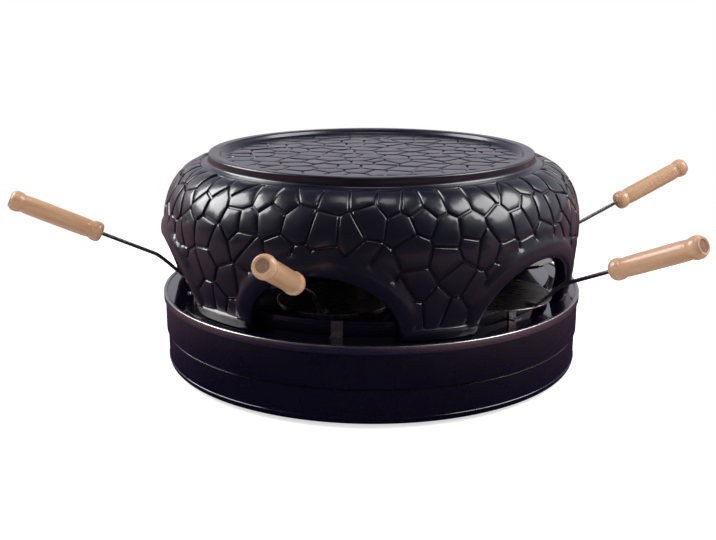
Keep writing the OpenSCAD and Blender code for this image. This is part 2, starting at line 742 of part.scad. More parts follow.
module dome() {
    rim_in = dome_rim_r - rim_w;
    inner_top = bulge_z + shoulder_h - dome_t;
    color([0.05, 0.05, 0.06])
    difference() {
        union() {
            rotate_extrude($fn = 180) polygon(concat(
                [[0, dome_z]],
                wall_points(0, dome_z),
                [[dome_rim_r, bulge_z + shoulder_h]],
                arc(dome_rim_r - rim_round, dome_top - rim_round, rim_round, 0, 90, 3),
                arc(rim_in + rim_round, dome_top - rim_round, rim_round, 90, 180, 3),
                [[rim_in, serving_z], [0, serving_z]]));
            intersection() {
                band_ring(dome_z, band_top_z);
                union() {
                    at_dirs(ARCH_DIRS)
                        radial_prism(arch_points(band_w_foot, band_w_crown, dome_z - 1), arch_near, arch_far);
                }
            }
            band_ring(dome_z, dome_z + foot_band_h, 2);
        }
        rotate_extrude($fn = 180) polygon(concat(
            [[0, dome_z - 1]],
            wall_points(dome_t, dome_z - 1),
            [[dome_rim_r - 4, inner_top], [dome_rim_r - 8, serving_z - dome_t], [0, serving_z - dome_t]]));
        at_dirs(ARCH_DIRS) radial_prism(arch_points(0, 0, dome_z - 2), arch_near, arch_far);
    }
}

// ---------------------------------------------------------------- spatulas

// Children moved from the spatula's own frame, blade centred on Z and handle towards -Y
module place_spatula(s) {
    rotate([0, 0, s[0]])
        translate([s[2], -s[1], 0])
            rotate([0, 0, s[3]]) children();
}

// Point on a cubic curve
function bezier(p, t) = pow(1 - t, 3) * p[0] + 3 * pow(1 - t, 2) * t * p[1]
    + 3 * (1 - t) * t * t * p[2] + pow(t, 3) * p[3];

// Centre line of the rod as [distance from the blade's centre, height]
rod_dir = [cos(rod_slope), sin(rod_slope)];
rod_root = [blade_r - 1.5, blade_top + rod_foot_h / 2 + weld_gap];
rod_bend_at = [rod_bend, blade_top + rod_rise];
ROD_CURVE = [rod_root, rod_root + [3, 0.2], rod_bend_at - 9 * rod_dir, rod_bend_at];
handle_at = rod_bend_at + (handle_start - rod_bend) / cos(rod_slope) * rod_dir;
ROD_PATH = concat(
    [rod_root - [10, 0], rod_root - [4, 0]],
    [for (i = [0 : 10]) bezier(ROD_CURVE, i / 10)],
    [handle_at, handle_at + (rod_bore_depth - 1) * rod_dir]);

// Half width and half height of the rod's section at point i: flat on the blade, then round
function rod_half(i) = i == 0 ? [2.6, rod_foot_h / 2] : i == 1 ? [3.4, rod_foot_h / 2]
    : i == 2 ? [2.8, rod_foot_h / 2 + 0.1] : i == 3 ? [2, 1.3] : [rod_r, rod_r];

// A tube along a path in the Y-Z plane, as one closed surface
module swept_rod(path, sides = 10) {
    last = len(path) - 1;
    points = [for (i = [0 : last]) let (
            a = path[max(i - 1, 0)], b = path[min(i + 1, last)],
            t = (b - a) / norm(b - a), half = rod_half(i))
        for (j = [0 : sides - 1]) let (w = half[0] * cos(360 * j / sides), h = half[1] * sin(360 * j / sides))
            [w, -path[i][0] + h * t[1], path[i][1] + h * t[0]]];
    quads = [for (i = [0 : last - 1], j = [0 : sides - 1]) let (k = (j + 1) % sides)
        [i * sides + j, i * sides + k, (i + 1) * sides + k, (i + 1) * sides + j]];
    sides_tri = [for (q = quads) each [[q[0], q[1], q[2]], [q[0], q[2], q[3]]]];
    first_cap = [for (j = [sides - 1 : -1 : 0]) j];
    last_cap = [for (j = [0 : sides - 1]) last * sides + j];
    polyhedron(points, concat(sides_tri, [first_cap], [last_cap]));
}

module blade(s) {
    round_r = 0.4;
    color([0.7, 0.69, 0.68])
    place_spatula(s) translate([0, 0, blade_z]) rotate_extrude($fn = 128) polygon([
        [0, 0], [blade_r - round_r, 0], [blade_r, round_r], [blade_r, blade_t - round_r],
        [blade_r - round_r, blade_t], [0, blade_t]]);
}

module rod(s) {
    color([0.55, 0.53, 0.52])
    place_spatula(s) swept_rod(ROD_PATH);
}

module handle(s) {
    neck = 15.5;
    knob_r = knob_d / 2;
    body_r = handle_d / 2;
    half = [[rod_r + 2.2, 0], [knob_r * 0.8, 1.6], [knob_r * 0.95, 4], [knob_r, 7], [knob_r * 0.96, 11],
        [body_r * 0.88, neck], [body_r, neck + 5]];
    last = len(half) - 1;
    color([0.86, 0.66, 0.45])
    place_spatula(s) translate([0, -handle_at[0], handle_at[1]]) rotate([90 - rod_slope, 0, 0]) difference() {
        rotate_extrude($fn = 64) polygon(concat(
            [[0, 0]], half,
            [for (i = [last : -1 : 0]) [half[i][0] + (i == 0 ? 3 : 0), handle_l - half[i][1]]],
            [[0, handle_l]]));
        translate([0, 0, -1]) cylinder(r = rod_r + 0.05, h = rod_bore_depth + 1, $fn = 48);
        translate([0, 0, handle_l - 0.8]) cylinder(d = end_disc_d, h = 2, $fn = 40);
    }
}

base_shell();
trim_ring();
drip_pan();
baking_plate();
plate_clips();
heat_reflector();
lower_heater();
heater_brackets();
heater_bushes();
center_column();
column_nut();
upper_heater();
heater_spider();
column_cap();
thermostat();
thermal_fuse();
terminal_block();
bottom_cover();
rubber_feet();
cover_screws();
switch_housing();
switch_rocker();
cord_gland();
gland_nut();
dome();
blade(LEFT);  // left_blade
rod(LEFT);  // left_rod
handle(LEFT);  // left_handle
blade(FRONT);  // front_blade
rod(FRONT);  // front_rod
handle(FRONT);  // front_handle
blade(RIGHT);  // right_blade
rod(RIGHT);  // right_rod
handle(RIGHT);  // right_handle
blade(REAR);  // rear_blade
rod(REAR);  // rear_rod
handle(REAR);  // rear_handle
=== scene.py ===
# Looks of the electric table-top pizza maker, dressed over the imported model.
# Shapes are worked out in millimetres in the model's own frame and scaled once, in add_piece().
# Directions round the object are angles from -Y towards +X, as seen from above.
import math

import bpy
import numpy as np
from mathutils import Matrix, Vector
from mathutils.geometry import delaunay_2d_cdt


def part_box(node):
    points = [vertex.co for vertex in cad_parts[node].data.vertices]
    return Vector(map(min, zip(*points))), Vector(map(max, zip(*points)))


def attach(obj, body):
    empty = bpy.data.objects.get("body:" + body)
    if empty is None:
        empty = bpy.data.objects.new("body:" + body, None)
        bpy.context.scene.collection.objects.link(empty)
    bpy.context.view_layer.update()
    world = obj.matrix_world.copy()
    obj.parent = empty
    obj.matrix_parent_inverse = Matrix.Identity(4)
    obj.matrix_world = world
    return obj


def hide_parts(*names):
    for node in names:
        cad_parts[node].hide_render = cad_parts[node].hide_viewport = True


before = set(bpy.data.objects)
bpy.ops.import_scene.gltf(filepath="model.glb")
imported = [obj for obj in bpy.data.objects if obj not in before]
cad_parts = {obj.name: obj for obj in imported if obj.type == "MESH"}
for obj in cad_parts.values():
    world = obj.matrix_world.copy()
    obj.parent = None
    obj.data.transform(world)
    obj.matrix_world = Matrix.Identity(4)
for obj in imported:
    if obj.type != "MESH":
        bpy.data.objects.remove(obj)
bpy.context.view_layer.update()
MM = 0.001


# ---------------------------------------------------------------- sizes, in mm

def levels(node):
    """Lowest and highest Z of a CAD node."""
    low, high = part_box(node)
    return low.z / MM, high.z / MM


def reach(node):
    """Radius of a round CAD node about the Z axis."""
    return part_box(node)[1].x / MM


OPENINGS = 6
STEP = 360 / OPENINGS
DOME_Z, DOME_TOP = levels("dome")
RIM_Z = levels("trim_ring")[1]
RING_LOW_Z = levels("trim_ring")[0]
RING_R = reach("trim_ring")
PAN_Z = levels("drip_pan")[1]
PLATE_R = reach("baking_plate")
PLATE_Z = levels("baking_plate")[1]

# the dome's wall: a shallow bulge, then a rounded shoulder up to the serving top
BULGE_R = 196.0
BULGE_OUT = 11.0
BULGE_H = 67.3
BULGE_Z = PAN_Z + BULGE_H
SHOULDER_W = 38.0
SHOULDER_H = 53.0
SHOULDER_R = BULGE_R - SHOULDER_W
WALL_T = 10.0
LEDGE_W = 4.5
RIM_W = 11.0
RECESS = 5.0
FLOOR_Z = DOME_TOP - RECESS
RIM_R = SHOULDER_R - LEDGE_W
CEILING_Z = FLOOR_Z - WALL_T

# its openings and smooth bands
ARCH_HALF = 62.5
ARCH_RISE = 48.6
SPRING_Z = PAN_Z + 7.2
BAND_FOOT = 13.0
BAND_CROWN = 21.5
BAND_OUT = 4.0
FOOT_BAND = 11.0
LIP_R = 4.0


# ---------------------------------------------------------------- mesh helpers

def add_piece(name, points, faces, materials, body, slot, face_material=None, sharp=None):
    """A mesh piece from points in mm, riding on a CAD body."""
    mesh = bpy.data.meshes.new(name)
    mesh.from_pydata((np.asarray(points, float) * MM).tolist(), [], faces)
    mesh.validate()
    for material in materials:
        mesh.materials.append(material)
    if face_material is not None:
        mesh.polygons.foreach_set("material_index", list(face_material))
    mesh.shade_smooth()
    if sharp:
        mesh.set_sharp_from_angle(angle=math.radians(sharp))
    piece = bpy.data.objects.new(name, mesh)
    bpy.context.scene.collection.objects.link(piece)
    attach(piece, body)
    return piece


def smooth(t):
    t = np.clip(t, 0, 1)
    return t * t * (3 - 2 * t)


def arc(x, y, r, a, b, n=6):
    """Points of an arc about (x, y), from angle a to angle b in degrees."""
    turn = [math.radians(a + (b - a) * i / n) for i in range(n + 1)]
    return [(x + r * math.cos(t), y + r * math.sin(t)) for t in turn]


def revolve(profile, segments=256, closed=True):
    """Points and faces of a profile of (radius, z) turned about the Z axis, counted from -Y."""
    turn = 2 * math.pi * np.arange(segments) / segments
    points = []
    rows = []
    for r, z in profile:
        start = len(points)
        if r < 1e-6:
            points.append((0, 0, z))
            rows.append([start] * segments)
        else:
            points += [(r * math.sin(t), -r * math.cos(t), z) for t in turn]
            rows.append(list(range(start, start + segments)))
    pairs = list(zip(rows, rows[1:]))
    if closed:
        pairs.append((rows[-1], rows[0]))
    faces = []
    for low, high in pairs:
        for i in range(segments):
            j = (i + 1) % segments
            corners = [low[i], low[j], high[j], high[i]]
            face = list(dict.fromkeys(corners))
            if len(face) > 2:
                faces.append(face)
    return points, faces


def merged(*parts):
    """Several (points, faces) as one."""
    points = []
    faces = []
    for some_points, some_faces in parts:
        faces += [[i + len(points) for i in face] for face in some_faces]
        points += [tuple(p) for p in some_points]
    return points, faces


def moved(part, matrix):
    points, faces = part
    return [tuple(matrix @ Vector(p)) for p in points], faces


def turned(angle):
    return Matrix.Rotation(math.radians(angle), 4, "Z")


def rounded(corners, closed=True, steps=5):
    """Corners of (x, y, radius) or (x, y, z, radius), each turned into an arc of its radius."""
    points = [Vector(corner[:-1]) for corner in corners]
    last = len(points) - 1
    line = []
    for i, here in enumerate(points):
        r = corners[i][-1]
        if r == 0 or (not closed and i in (0, last)):
            line.append(tuple(here))
            continue
        before = (points[i - 1] - here).normalized()
        after = (points[(i + 1) % (last + 1)] - here).normalized()
        half = before.angle(after) / 2
        centre = here + (before + after).normalized() * (r / math.sin(half))
        start = here + before * (r / math.tan(half)) - centre
        end = here + after * (r / math.tan(half)) - centre
        turn = start.angle(end)
        for k in range(steps + 1):
            t = k / steps
            line.append(tuple(centre + start * (math.sin((1 - t) * turn) / math.sin(turn))
                              + end * (math.sin(t * turn) / math.sin(turn))))
    return line


def curve(points, steps=6):
    """A smooth line through points."""
    points = [np.array(p, float) for p in points]
    last = len(points) - 1
    line = []
    for i in range(last):
        a, b, c, d = (points[min(max(i + k, 0), last)] for k in (-1, 0, 1, 2))
        for t in np.arange(steps) / steps:
            line.append(tuple(0.5 * (2 * b + (c - a) * t + (2 * a - 5 * b + 4 * c - d) * t ** 2
                                     + (3 * b - a - 3 * c + d) * t ** 3)))
    return line + [tuple(points[-1])]


def oval(half_w, half_h, sides=20):
    """A closed section with the given half width and half height."""
    return [(half_w * math.cos(2 * math.pi * k / sides), half_h * math.sin(2 * math.pi * k / sides))
            for k in range(sides)]


def swept(path, sections, across):
    """A closed tube along the points of path, with a section of (across, up) pairs at each point."""
    across = Vector(across)
    rings = []
    points = []
    for i, at in enumerate(path):
        along = (Vector(path[min(i + 1, len(path) - 1)]) - Vector(path[max(i - 1, 0)])).normalized()
        across = (across - along * across.dot(along)).normalized()
        up = across.cross(along)
        rings.append(range(len(points), len(points) + len(sections[i])))
        points += [tuple(Vector(at) + across * x + up * y) for x, y in sections[i]]
    faces = [list(rings[0])[::-1], list(rings[-1])]
    for low, high in zip(rings, rings[1:]):
        n = len(low)
        faces += [[low[j], low[(j + 1) % n], high[(j + 1) % n], high[j]] for j in range(n)]
    return points, faces


# ---------------------------------------------------------------- materials

class Nodes:
    """A material's node tree, with short calls for what the materials here share."""

    def __init__(self, name, slot_color, roughness, metallic=0.0, **inputs):
        self.material = bpy.data.materials.new(name)
        self.material.use_nodes = True
        self.material.diffuse_color = (*slot_color, 1)
        self.tree = self.material.node_tree
        self.shader = self.tree.nodes["Principled BSDF"]
        self.set("Base Color", (*slot_color, 1))
        self.set("Roughness", roughness)
        self.set("Metallic", metallic)
        for socket, value in inputs.items():
            self.set(socket.replace("_", " "), value)
        self.place = self.tree.nodes.new("ShaderNodeTexCoord").outputs["Object"]

    def set(self, socket, value):
        self.shader.inputs[socket].default_value = value

    def link(self, out, to):
        self.tree.links.new(out, to)

    def stretched(self, scale, turn=(0, 0, 0)):
        """Object coordinates, scaled by axis."""
        node = self.tree.nodes.new("ShaderNodeMapping")
        node.inputs["Scale"].default_value = scale
        node.inputs["Rotation"].default_value = turn
        self.link(self.place, node.inputs["Vector"])
        return node.outputs["Vector"]

    def noise(self, scale, detail=3.0, rough=0.5, where=None, distortion=0.0):
        node = self.tree.nodes.new("ShaderNodeTexNoise")
        node.inputs["Scale"].default_value = scale
        node.inputs["Detail"].default_value = detail
        node.inputs["Roughness"].default_value = rough
        node.inputs["Distortion"].default_value = distortion
        self.link(where or self.place, node.inputs["Vector"])
        return node.outputs["Fac"]

    def math(self, kind, a, b):
        node = self.tree.nodes.new("ShaderNodeMath")
        node.operation = kind
        for socket, value in zip(node.inputs, (a, b)):
            if isinstance(value, (int, float)):
                socket.default_value = value
            else:
                self.link(value, socket)
        return node.outputs[0]

    def ramp(self, factor, stops):
        """Colours or grey levels along a factor."""
        node = self.tree.nodes.new("ShaderNodeValToRGB")
        ends = node.color_ramp.elements
        while len(ends) < len(stops):
            ends.new(0.5)
        for element, (at, color) in zip(ends, stops):
            element.position = at
            if isinstance(color, (int, float)):
                color = (color, color, color)
            element.color = (*color, 1)
        self.link(factor, node.inputs["Fac"])
        return node.outputs["Color"]

    def color(self, factor, stops):
        self.link(self.ramp(factor, stops), self.shader.inputs["Base Color"])

    def roughness(self, factor, low, high, start=0.3, end=0.7):
        node = self.tree.nodes.new("ShaderNodeMapRange")
        node.inputs["From Min"].default_value = start
        node.inputs["From Max"].default_value = end
        node.inputs["To Min"].default_value = low
        node.inputs["To Max"].default_value = high
        self.link(factor, node.inputs["Value"])
        self.link(node.outputs["Result"], self.shader.inputs["Roughness"])

    def bump(self, height, strength, distance):
        """Adds to any bump that the material has already."""
        node = self.tree.nodes.new("ShaderNodeBump")
        node.inputs["Strength"].default_value = strength
        node.inputs["Distance"].default_value = distance
        self.link(height, node.inputs["Height"])
        normal = self.shader.inputs["Normal"]
        if normal.is_linked:
            self.link(normal.links[0].from_socket, node.inputs["Normal"])
        self.link(node.outputs["Normal"], normal)


def radius_factor(n):
    """Distance from the Z axis, in metres."""
    split = n.tree.nodes.new("ShaderNodeSeparateXYZ")
    n.link(n.place, split.inputs[0])
    squares = [n.math("MULTIPLY", split.outputs[i], split.outputs[i]) for i in (0, 1)]
    return n.math("SQRT", n.math("ADD", *squares), 0.0)


def ring_space(n):
    """(radius, angle, z) as a vector, so that brushing and wear run round the object."""
    split = n.tree.nodes.new("ShaderNodeSeparateXYZ")
    n.link(n.place, split.inputs[0])
    join = n.tree.nodes.new("ShaderNodeCombineXYZ")
    n.link(radius_factor(n), join.inputs[0])
    n.link(n.math("ARCTAN2", split.outputs[1], split.outputs[0]), join.inputs[1])
    n.link(split.outputs[2], join.inputs[2])
    return join.outputs[0]


def scaled(n, vector, scale):
    node = n.tree.nodes.new("ShaderNodeMapping")
    node.inputs["Scale"].default_value = scale
    n.link(vector, node.inputs["Vector"])
    return node.outputs["Vector"]


def dome_glaze():
    """Satin blue-black glaze over cast stones, browner where it pooled thin."""
    n = Nodes("Dome glaze", (0.003, 0.0025, 0.009), 0.32, Coat_Weight=0.6, Coat_Roughness=0.15)
    n.color(n.noise(9.0, 2.0), [(0.3, (0.002, 0.002, 0.011)), (0.75, (0.004, 0.003, 0.011))])
    n.roughness(n.noise(60.0, 4.0), 0.28, 0.38)
    n.bump(n.noise(330.0, 3.0), 0.10, 0.0004)
    n.bump(n.noise(75.0, 2.0), 0.12, 0.0012)
    return n.material


def base_paint():
    """Satin black stoving paint on drawn sheet."""
    n = Nodes("Base paint", (0.0018, 0.0012, 0.008), 0.3, Coat_Weight=0.8, Coat_Roughness=0.10)
    n.color(n.noise(7.0, 2.0), [(0.3, (0.0015, 0.001, 0.008)), (0.7, (0.003, 0.0018, 0.008))])
    n.roughness(n.noise(45.0, 4.0), 0.24, 0.32)
    n.bump(n.noise(900.0, 2.0), 0.06, 0.0002)
    n.bump(scaled_noise(n, (14.0, 3.0, 5.0)), 0.05, 0.0015)
    return n.material


def scaled_noise(n, scale, detail=2.0):
    """Noise in the ring space, for slow waves round a turned or drawn piece."""
    return n.noise(1.0, detail, 0.5, scaled(n, ring_space(n), scale))


def ring_steel():
    """Steel brushed round the ring."""
    n = Nodes("Ring steel", (0.50, 0.48, 0.49), 0.24, 1.0, Anisotropic=0.4)
    brushed = n.noise(1.0, 2.0, 0.5, scaled(n, ring_space(n), (9000.0, 5.0, 9000.0)))
    n.color(n.noise(30.0, 3.0), [(0.3, (0.48, 0.46, 0.47)), (0.7, (0.58, 0.56, 0.56))])
    n.roughness(brushed, 0.18, 0.34)
    n.bump(brushed, 0.12, 0.0002)
    return n.material


def pan_enamel():
    """Glassy black enamel with a little orange peel."""
    n = Nodes("Pan enamel", (0.003, 0.0025, 0.008), 0.05, Coat_Weight=1.0, Coat_Roughness=0.03)
    n.color(n.noise(12.0), [(0.35, (0.0025, 0.002, 0.008)), (0.7, (0.004, 0.003, 0.009))])
    n.roughness(n.noise(22.0, 4.0), 0.04, 0.11)
    n.bump(n.noise(120.0, 2.0), 0.05, 0.0006)
    return n.material


def plate_coating():
    """Glossy non-stick coating, with a fine random mottle of slightly lighter tone."""
    n = Nodes("Plate coating", (0.003, 0.0025, 0.008), 0.08, Coat_Weight=1.0, Coat_Roughness=0.03)
    n.color(n.noise(260.0, 4.0), [(0.35, (0.0025, 0.002, 0.008)), (0.75, (0.006, 0.005, 0.010))])
    n.roughness(n.noise(40.0, 5.0), 0.06, 0.14)
    n.bump(n.noise(700.0, 2.0), 0.05, 0.0003)
    return n.material


def sheet_steel(name, color, low, high, grain=(2600.0, 60.0, 2600.0), warm=0.0):
    """Rolled steel with a fine grain and, where warm, straw and brown heat tints."""
    n = Nodes(name, color, (low + high) / 2, 1.0)
    grain_lines = n.noise(1.0, 2.0, 0.5, n.stretched(grain))
    tint = tuple(c * (1 - warm * k) for c, k in zip(color, (0.35, 0.5, 0.62)))
    n.color(n.noise(26.0, 4.0, 0.6), [(0.36, color), (0.68, tint)])
    n.roughness(grain_lines, low, high)
    n.bump(grain_lines, 0.08, 0.0002)
    return n.material


def heater_sheath():
    n = Nodes("Heater sheath", (0.20, 0.18, 0.17), 0.42, 1.0)
    n.color(n.noise(60.0, 4.0), [(0.35, (0.16, 0.145, 0.14)), (0.7, (0.27, 0.23, 0.20))])
    n.roughness(n.noise(240.0, 3.0), 0.34, 0.55)
    n.bump(n.noise(600.0, 2.0), 0.12, 0.0002)
    return n.material


def porcelain():
    n = Nodes("Porcelain", (0.80, 0.78, 0.72), 0.45, Specular_IOR_Level=0.4)
    n.color(n.noise(90.0, 3.0), [(0.3, (0.76, 0.73, 0.66)), (0.7, (0.84, 0.82, 0.77))])
    n.roughness(n.noise(200.0, 3.0), 0.38, 0.55)
    n.bump(n.noise(900.0, 2.0), 0.1, 0.0002)
    return n.material


def dark_plastic(name, color, low, high, grain=1500.0):
    n = Nodes(name, color, (low + high) / 2)
    lighter = tuple(c * 1.35 for c in color)
    n.color(n.noise(400.0, 2.0), [(0.35, color), (0.75, lighter)])
    n.roughness(n.noise(90.0, 3.0), low, high)
    n.bump(n.noise(grain, 2.0), 0.18, 0.0002)
    return n.material


def rocker_red():
    n = Nodes("Rocker plastic", (0.34, 0.014, 0.010), 0.14, Coat_Weight=0.5, Coat_Roughness=0.05)
    n.color(n.noise(150.0, 2.0), [(0.35, (0.30, 0.012, 0.009)), (0.7, (0.40, 0.018, 0.012))])
    n.roughness(n.noise(200.0, 3.0), 0.10, 0.20)
    return n.material


def foot_rubber():
    n = Nodes("Foot rubber", (0.018, 0.018, 0.018), 0.75, Specular_IOR_Level=0.3)
    n.color(n.noise(120.0, 4.0), [(0.35, (0.015, 0.015, 0.015)), (0.7, (0.026, 0.026, 0.027))])
    n.roughness(n.noise(300.0, 3.0), 0.68, 0.85)
    n.bump(n.noise(1200.0, 2.0), 0.25, 0.0002)
    return n.material


def beech(name, along, seed):
    """Turned beech under clear lacquer: straight grain along the handle and short darker flecks."""
    n = Nodes(name, (0.50, 0.31, 0.19), 0.34, Coat_Weight=0.45, Coat_Roughness=0.12,
              Subsurface_Weight=0.04)
    x_axis = Vector((1, 0, 0))
    turn = x_axis.rotation_difference(along).to_matrix().inverted().to_euler()
    grain_space = n.tree.nodes.new("ShaderNodeMapping")
    grain_space.vector_type = "POINT"
    grain_space.inputs["Rotation"].default_value = turn
    grain_space.inputs["Location"].default_value = (seed, seed * 0.37, seed * 0.71)
    n.link(n.place, grain_space.inputs["Vector"])
    rings = n.noise(1.0, 3.0, 0.55, scaled(n, grain_space.outputs["Vector"], (9.0, 130.0, 130.0)), 0.4)
    flecks = n.noise(1.0, 1.0, 0.5, scaled(n, grain_space.outputs["Vector"], (420.0, 2300.0, 2300.0)))
    base = n.ramp(rings, [(0.30, (0.40, 0.215, 0.115)), (0.46, (0.48, 0.280, 0.16)),
                          (0.60, (0.53, 0.325, 0.20)), (0.78, (0.44, 0.245, 0.14))])
    mix = n.tree.nodes.new("ShaderNodeMix")
    mix.data_type = "RGBA"
    mix.blend_type = "MULTIPLY"
    fleck_level = n.ramp(flecks, [(0.62, 1.0), (0.70, (0.80, 0.72, 0.66))])
    mix.inputs["Factor"].default_value = 1.0
    n.link(base, mix.inputs["A"])
    n.link(fleck_level, mix.inputs["B"])
    n.link(mix.outputs["Result"], n.shader.inputs["Base Color"])
    n.roughness(rings, 0.30, 0.42)
    n.bump(rings, 0.08, 0.0004)
    return n.material


def end_grain():
    n = Nodes("Beech end grain", (0.24, 0.14, 0.085), 0.6, Specular_IOR_Level=0.35)
    n.color(n.noise(700.0, 3.0), [(0.35, (0.19, 0.105, 0.065)), (0.65, (0.28, 0.165, 0.105))])
    n.roughness(n.noise(300.0, 2.0), 0.5, 0.7)
    n.bump(n.noise(900.0, 2.0), 0.3, 0.0003)
    return n.material


GLAZE = dome_glaze()
PAINT = base_paint()
RING = ring_steel()
ENAMEL = pan_enamel()
COATING = plate_coating()
CLIP = sheet_steel("Clip steel", (0.66, 0.63, 0.60), 0.20, 0.34, warm=0.35)
BRACKET = sheet_steel("Bracket steel", (0.60, 0.60, 0.61), 0.28, 0.42)
REFLECTOR = sheet_steel("Reflector aluminium", (0.80, 0.80, 0.81), 0.16, 0.30)
COLUMN = sheet_steel("Column steel", (0.58, 0.56, 0.54), 0.24, 0.40, warm=0.3)
CAN = sheet_steel("Thermostat can", (0.66, 0.65, 0.61), 0.35, 0.5)
SCREW = sheet_steel("Screw zinc", (0.58, 0.58, 0.60), 0.26, 0.4)
BLADE = sheet_steel("Blade steel", (0.52, 0.50, 0.48), 0.18, 0.32, (60.0, 2400.0, 2400.0), warm=0.35)
ROD = sheet_steel("Rod steel", (0.50, 0.47, 0.46), 0.20, 0.34, warm=0.4)
SHEATH = heater_sheath()
PORCELAIN = porcelain()
COVER = dark_plastic("Cover paint", (0.055, 0.055, 0.058), 0.42, 0.58)
RUBBER = foot_rubber()
SWITCH = dark_plastic("Switch plastic", (0.016, 0.016, 0.018), 0.30, 0.45)
GLAND = dark_plastic("Gland plastic", (0.018, 0.018, 0.018), 0.42, 0.6)
ROCKER = rocker_red()
END_GRAIN = end_grain()

NODE_MATERIALS = {
    "base_shell": PAINT, "trim_ring": RING, "drip_pan": ENAMEL, "baking_plate": COATING,
    "plate_clips": CLIP, "heat_reflector": REFLECTOR, "lower_heater": SHEATH,
    "heater_brackets": BRACKET, "heater_bushes": PORCELAIN, "center_column": COLUMN,
    "column_nut": BRACKET, "upper_heater": SHEATH, "heater_spider": BRACKET,
    "column_cap": COLUMN, "thermostat": CAN, "thermal_fuse": PORCELAIN,
    "terminal_block": PORCELAIN, "bottom_cover": COVER, "rubber_feet": RUBBER,
    "cover_screws": SCREW, "switch_housing": SWITCH, "switch_rocker": ROCKER,
    "cord_gland": GLAND, "gland_nut": GLAND, "dome": GLAZE}
SPATULAS = ("left", "front", "right", "rear")
for side in SPATULAS:
    NODE_MATERIALS[side + "_blade"] = BLADE
    NODE_MATERIALS[side + "_rod"] = ROD
    NODE_MATERIALS[side + "_handle"] = END_GRAIN
for node_name, node_material in NODE_MATERIALS.items():
    node_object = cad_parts[node_name]
    if not node_object.material_slots:
        node_object.data.materials.append(None)
    for material_slot in node_object.material_slots:
        material_slot.material = node_material


# ---------------------------------------------------------------- dome

SIDE_SCALE = 190.0                    # mm of unrolled wall per radian
SEAM = math.radians(-STEP / 2)        # the wall is cut open here, in the middle of a pillar
TURN = 2 * math.pi * SIDE_SCALE       # length of the unrolled wall
PAST_SEAM = 30.0                      # how far stones are drawn past the cut
ROUND_STEPS = 288                     # points round the rim's rows
LINE_GAP = 2.6                        # spacing of points along the wall's lines
FACE_GAP = 4.5                        # spacing of points on the stones' faces
STONE_W = 21.0                        # mean width of a stone
STONE_H = 25.0                        # mean height of a stone
GROOVE = 0.5                          # half the width of a groove's floor
BEVEL = 0.85                          # width of a stone's bevel
EASE = 0.6                            # width of the softened edge behind the bevel
EDGE_IN = GROOVE + BEVEL + EASE       # a stone's face begins this far inside its outline
GROOVE_DEPTH = 1.25
SIDE_CREST = 0.3                      # how far a side stone's middle stands above its own edge
TOP_CREST = 0.12
TOP_SHARE = 0.62                      # the serving top's relief, as a share of the wall's
TOP_FADE = 6.0                        # it fades over this distance against the rim
FOOT_SWELL = 1.8                      # how far the lowest stones come out towards the foot band
SWELL_H = 32.0
SUNK = 2.2                            # depth at which a band ends, below the stones
BAND_END_Z = 155.0                    # there are only stones above this height
LIP_END_Z = 150.0
LEVEL_Z = 100.0                       # relief stands out level below this height,
LEVEL_FADE = 30.0                     # and square to the wall from this far above it


def field_r(z):
    return BULGE_R - BULGE_OUT * ((BULGE_Z - z) / BULGE_H) ** 2


def wall_row(t, inset=0.0):
    """(radius, z) at an angle t of the shoulder's quarter ellipse, in degrees."""
    t = math.radians(t)
    return (SHOULDER_R + (SHOULDER_W - inset) * math.cos(t), BULGE_Z + (SHOULDER_H - inset) * math.sin(t))


FOOT_ROUND = 2.0
FIELD_END = 86.0                      # where the stones end on the shoulder, in degrees
stone_top = wall_row(FIELD_END)

# rows of the profile, from the ceiling down the inner wall, under the foot, up and over
INNER_ROWS = ([(138.0, CEILING_Z), (145.5, CEILING_Z), (149.5, CEILING_Z - 4), (SHOULDER_R, CEILING_Z - 4)]
              + [wall_row(t, WALL_T) for t in range(75, -1, -15)]
              + [(field_r(z) - WALL_T, z) for z in np.linspace(BULGE_Z, DOME_Z, 7)[1:]])
FOOT_ROWS = ([(field_r(DOME_Z) - FOOT_ROUND, DOME_Z)]
             + arc(field_r(DOME_Z) - FOOT_ROUND, DOME_Z + FOOT_ROUND, FOOT_ROUND, -70, -20, 2)
             + [(field_r(DOME_Z), DOME_Z + FOOT_ROUND)])
WALL_ROWS = ([(field_r(z), z) for z in np.linspace(DOME_Z + FOOT_ROUND, BULGE_Z, 40)[1:]]
             + [wall_row(t) for t in np.linspace(0, FIELD_END, 60)[1:]])
COVE_R = 3.2
RIM_ROUND = 1.9
RIM_ROWS = ([(stone_top[0] - 0.5, stone_top[1] - 0.3), (stone_top[0] - 1.4, stone_top[1] + 0.25),
             (RIM_R + COVE_R, DOME_TOP - 8.7)]
            + arc(RIM_R + COVE_R, DOME_TOP - 8.7 + COVE_R, COVE_R, -90, -180, 5)[1:]
            + [(RIM_R, DOME_TOP - RIM_ROUND - 1)]
            + arc(RIM_R - RIM_ROUND, DOME_TOP - RIM_ROUND, RIM_ROUND, 0, 90, 5)
            + [(RIM_R - RIM_W / 2, DOME_TOP)]
            + arc(RIM_R - RIM_W + 2.5, DOME_TOP - 2.5, 2.5, 90, 150, 4)
            + arc(RIM_R - RIM_W - 4.0, FLOOR_Z + 3.9, 3.9, -30, -90, 4))
FLOOR_R = RIM_ROWS[-1][0]
PROFILE = np.array(INNER_ROWS + FOOT_ROWS + WALL_ROWS + RIM_ROWS)
PROFILE_S = np.concatenate([[0], np.cumsum(np.hypot(*np.diff(PROFILE, axis=0).T))])
INNER_END = len(INNER_ROWS) - 1
FOOT_START = len(INNER_ROWS)
WALL_START = FOOT_START + len(FOOT_ROWS) - 1
WALL_END = FOOT_START + len(FOOT_ROWS) + len(WALL_ROWS) - 1
S_FOOT = PROFILE_S[WALL_START]
S_TOP = PROFILE_S[WALL_END]


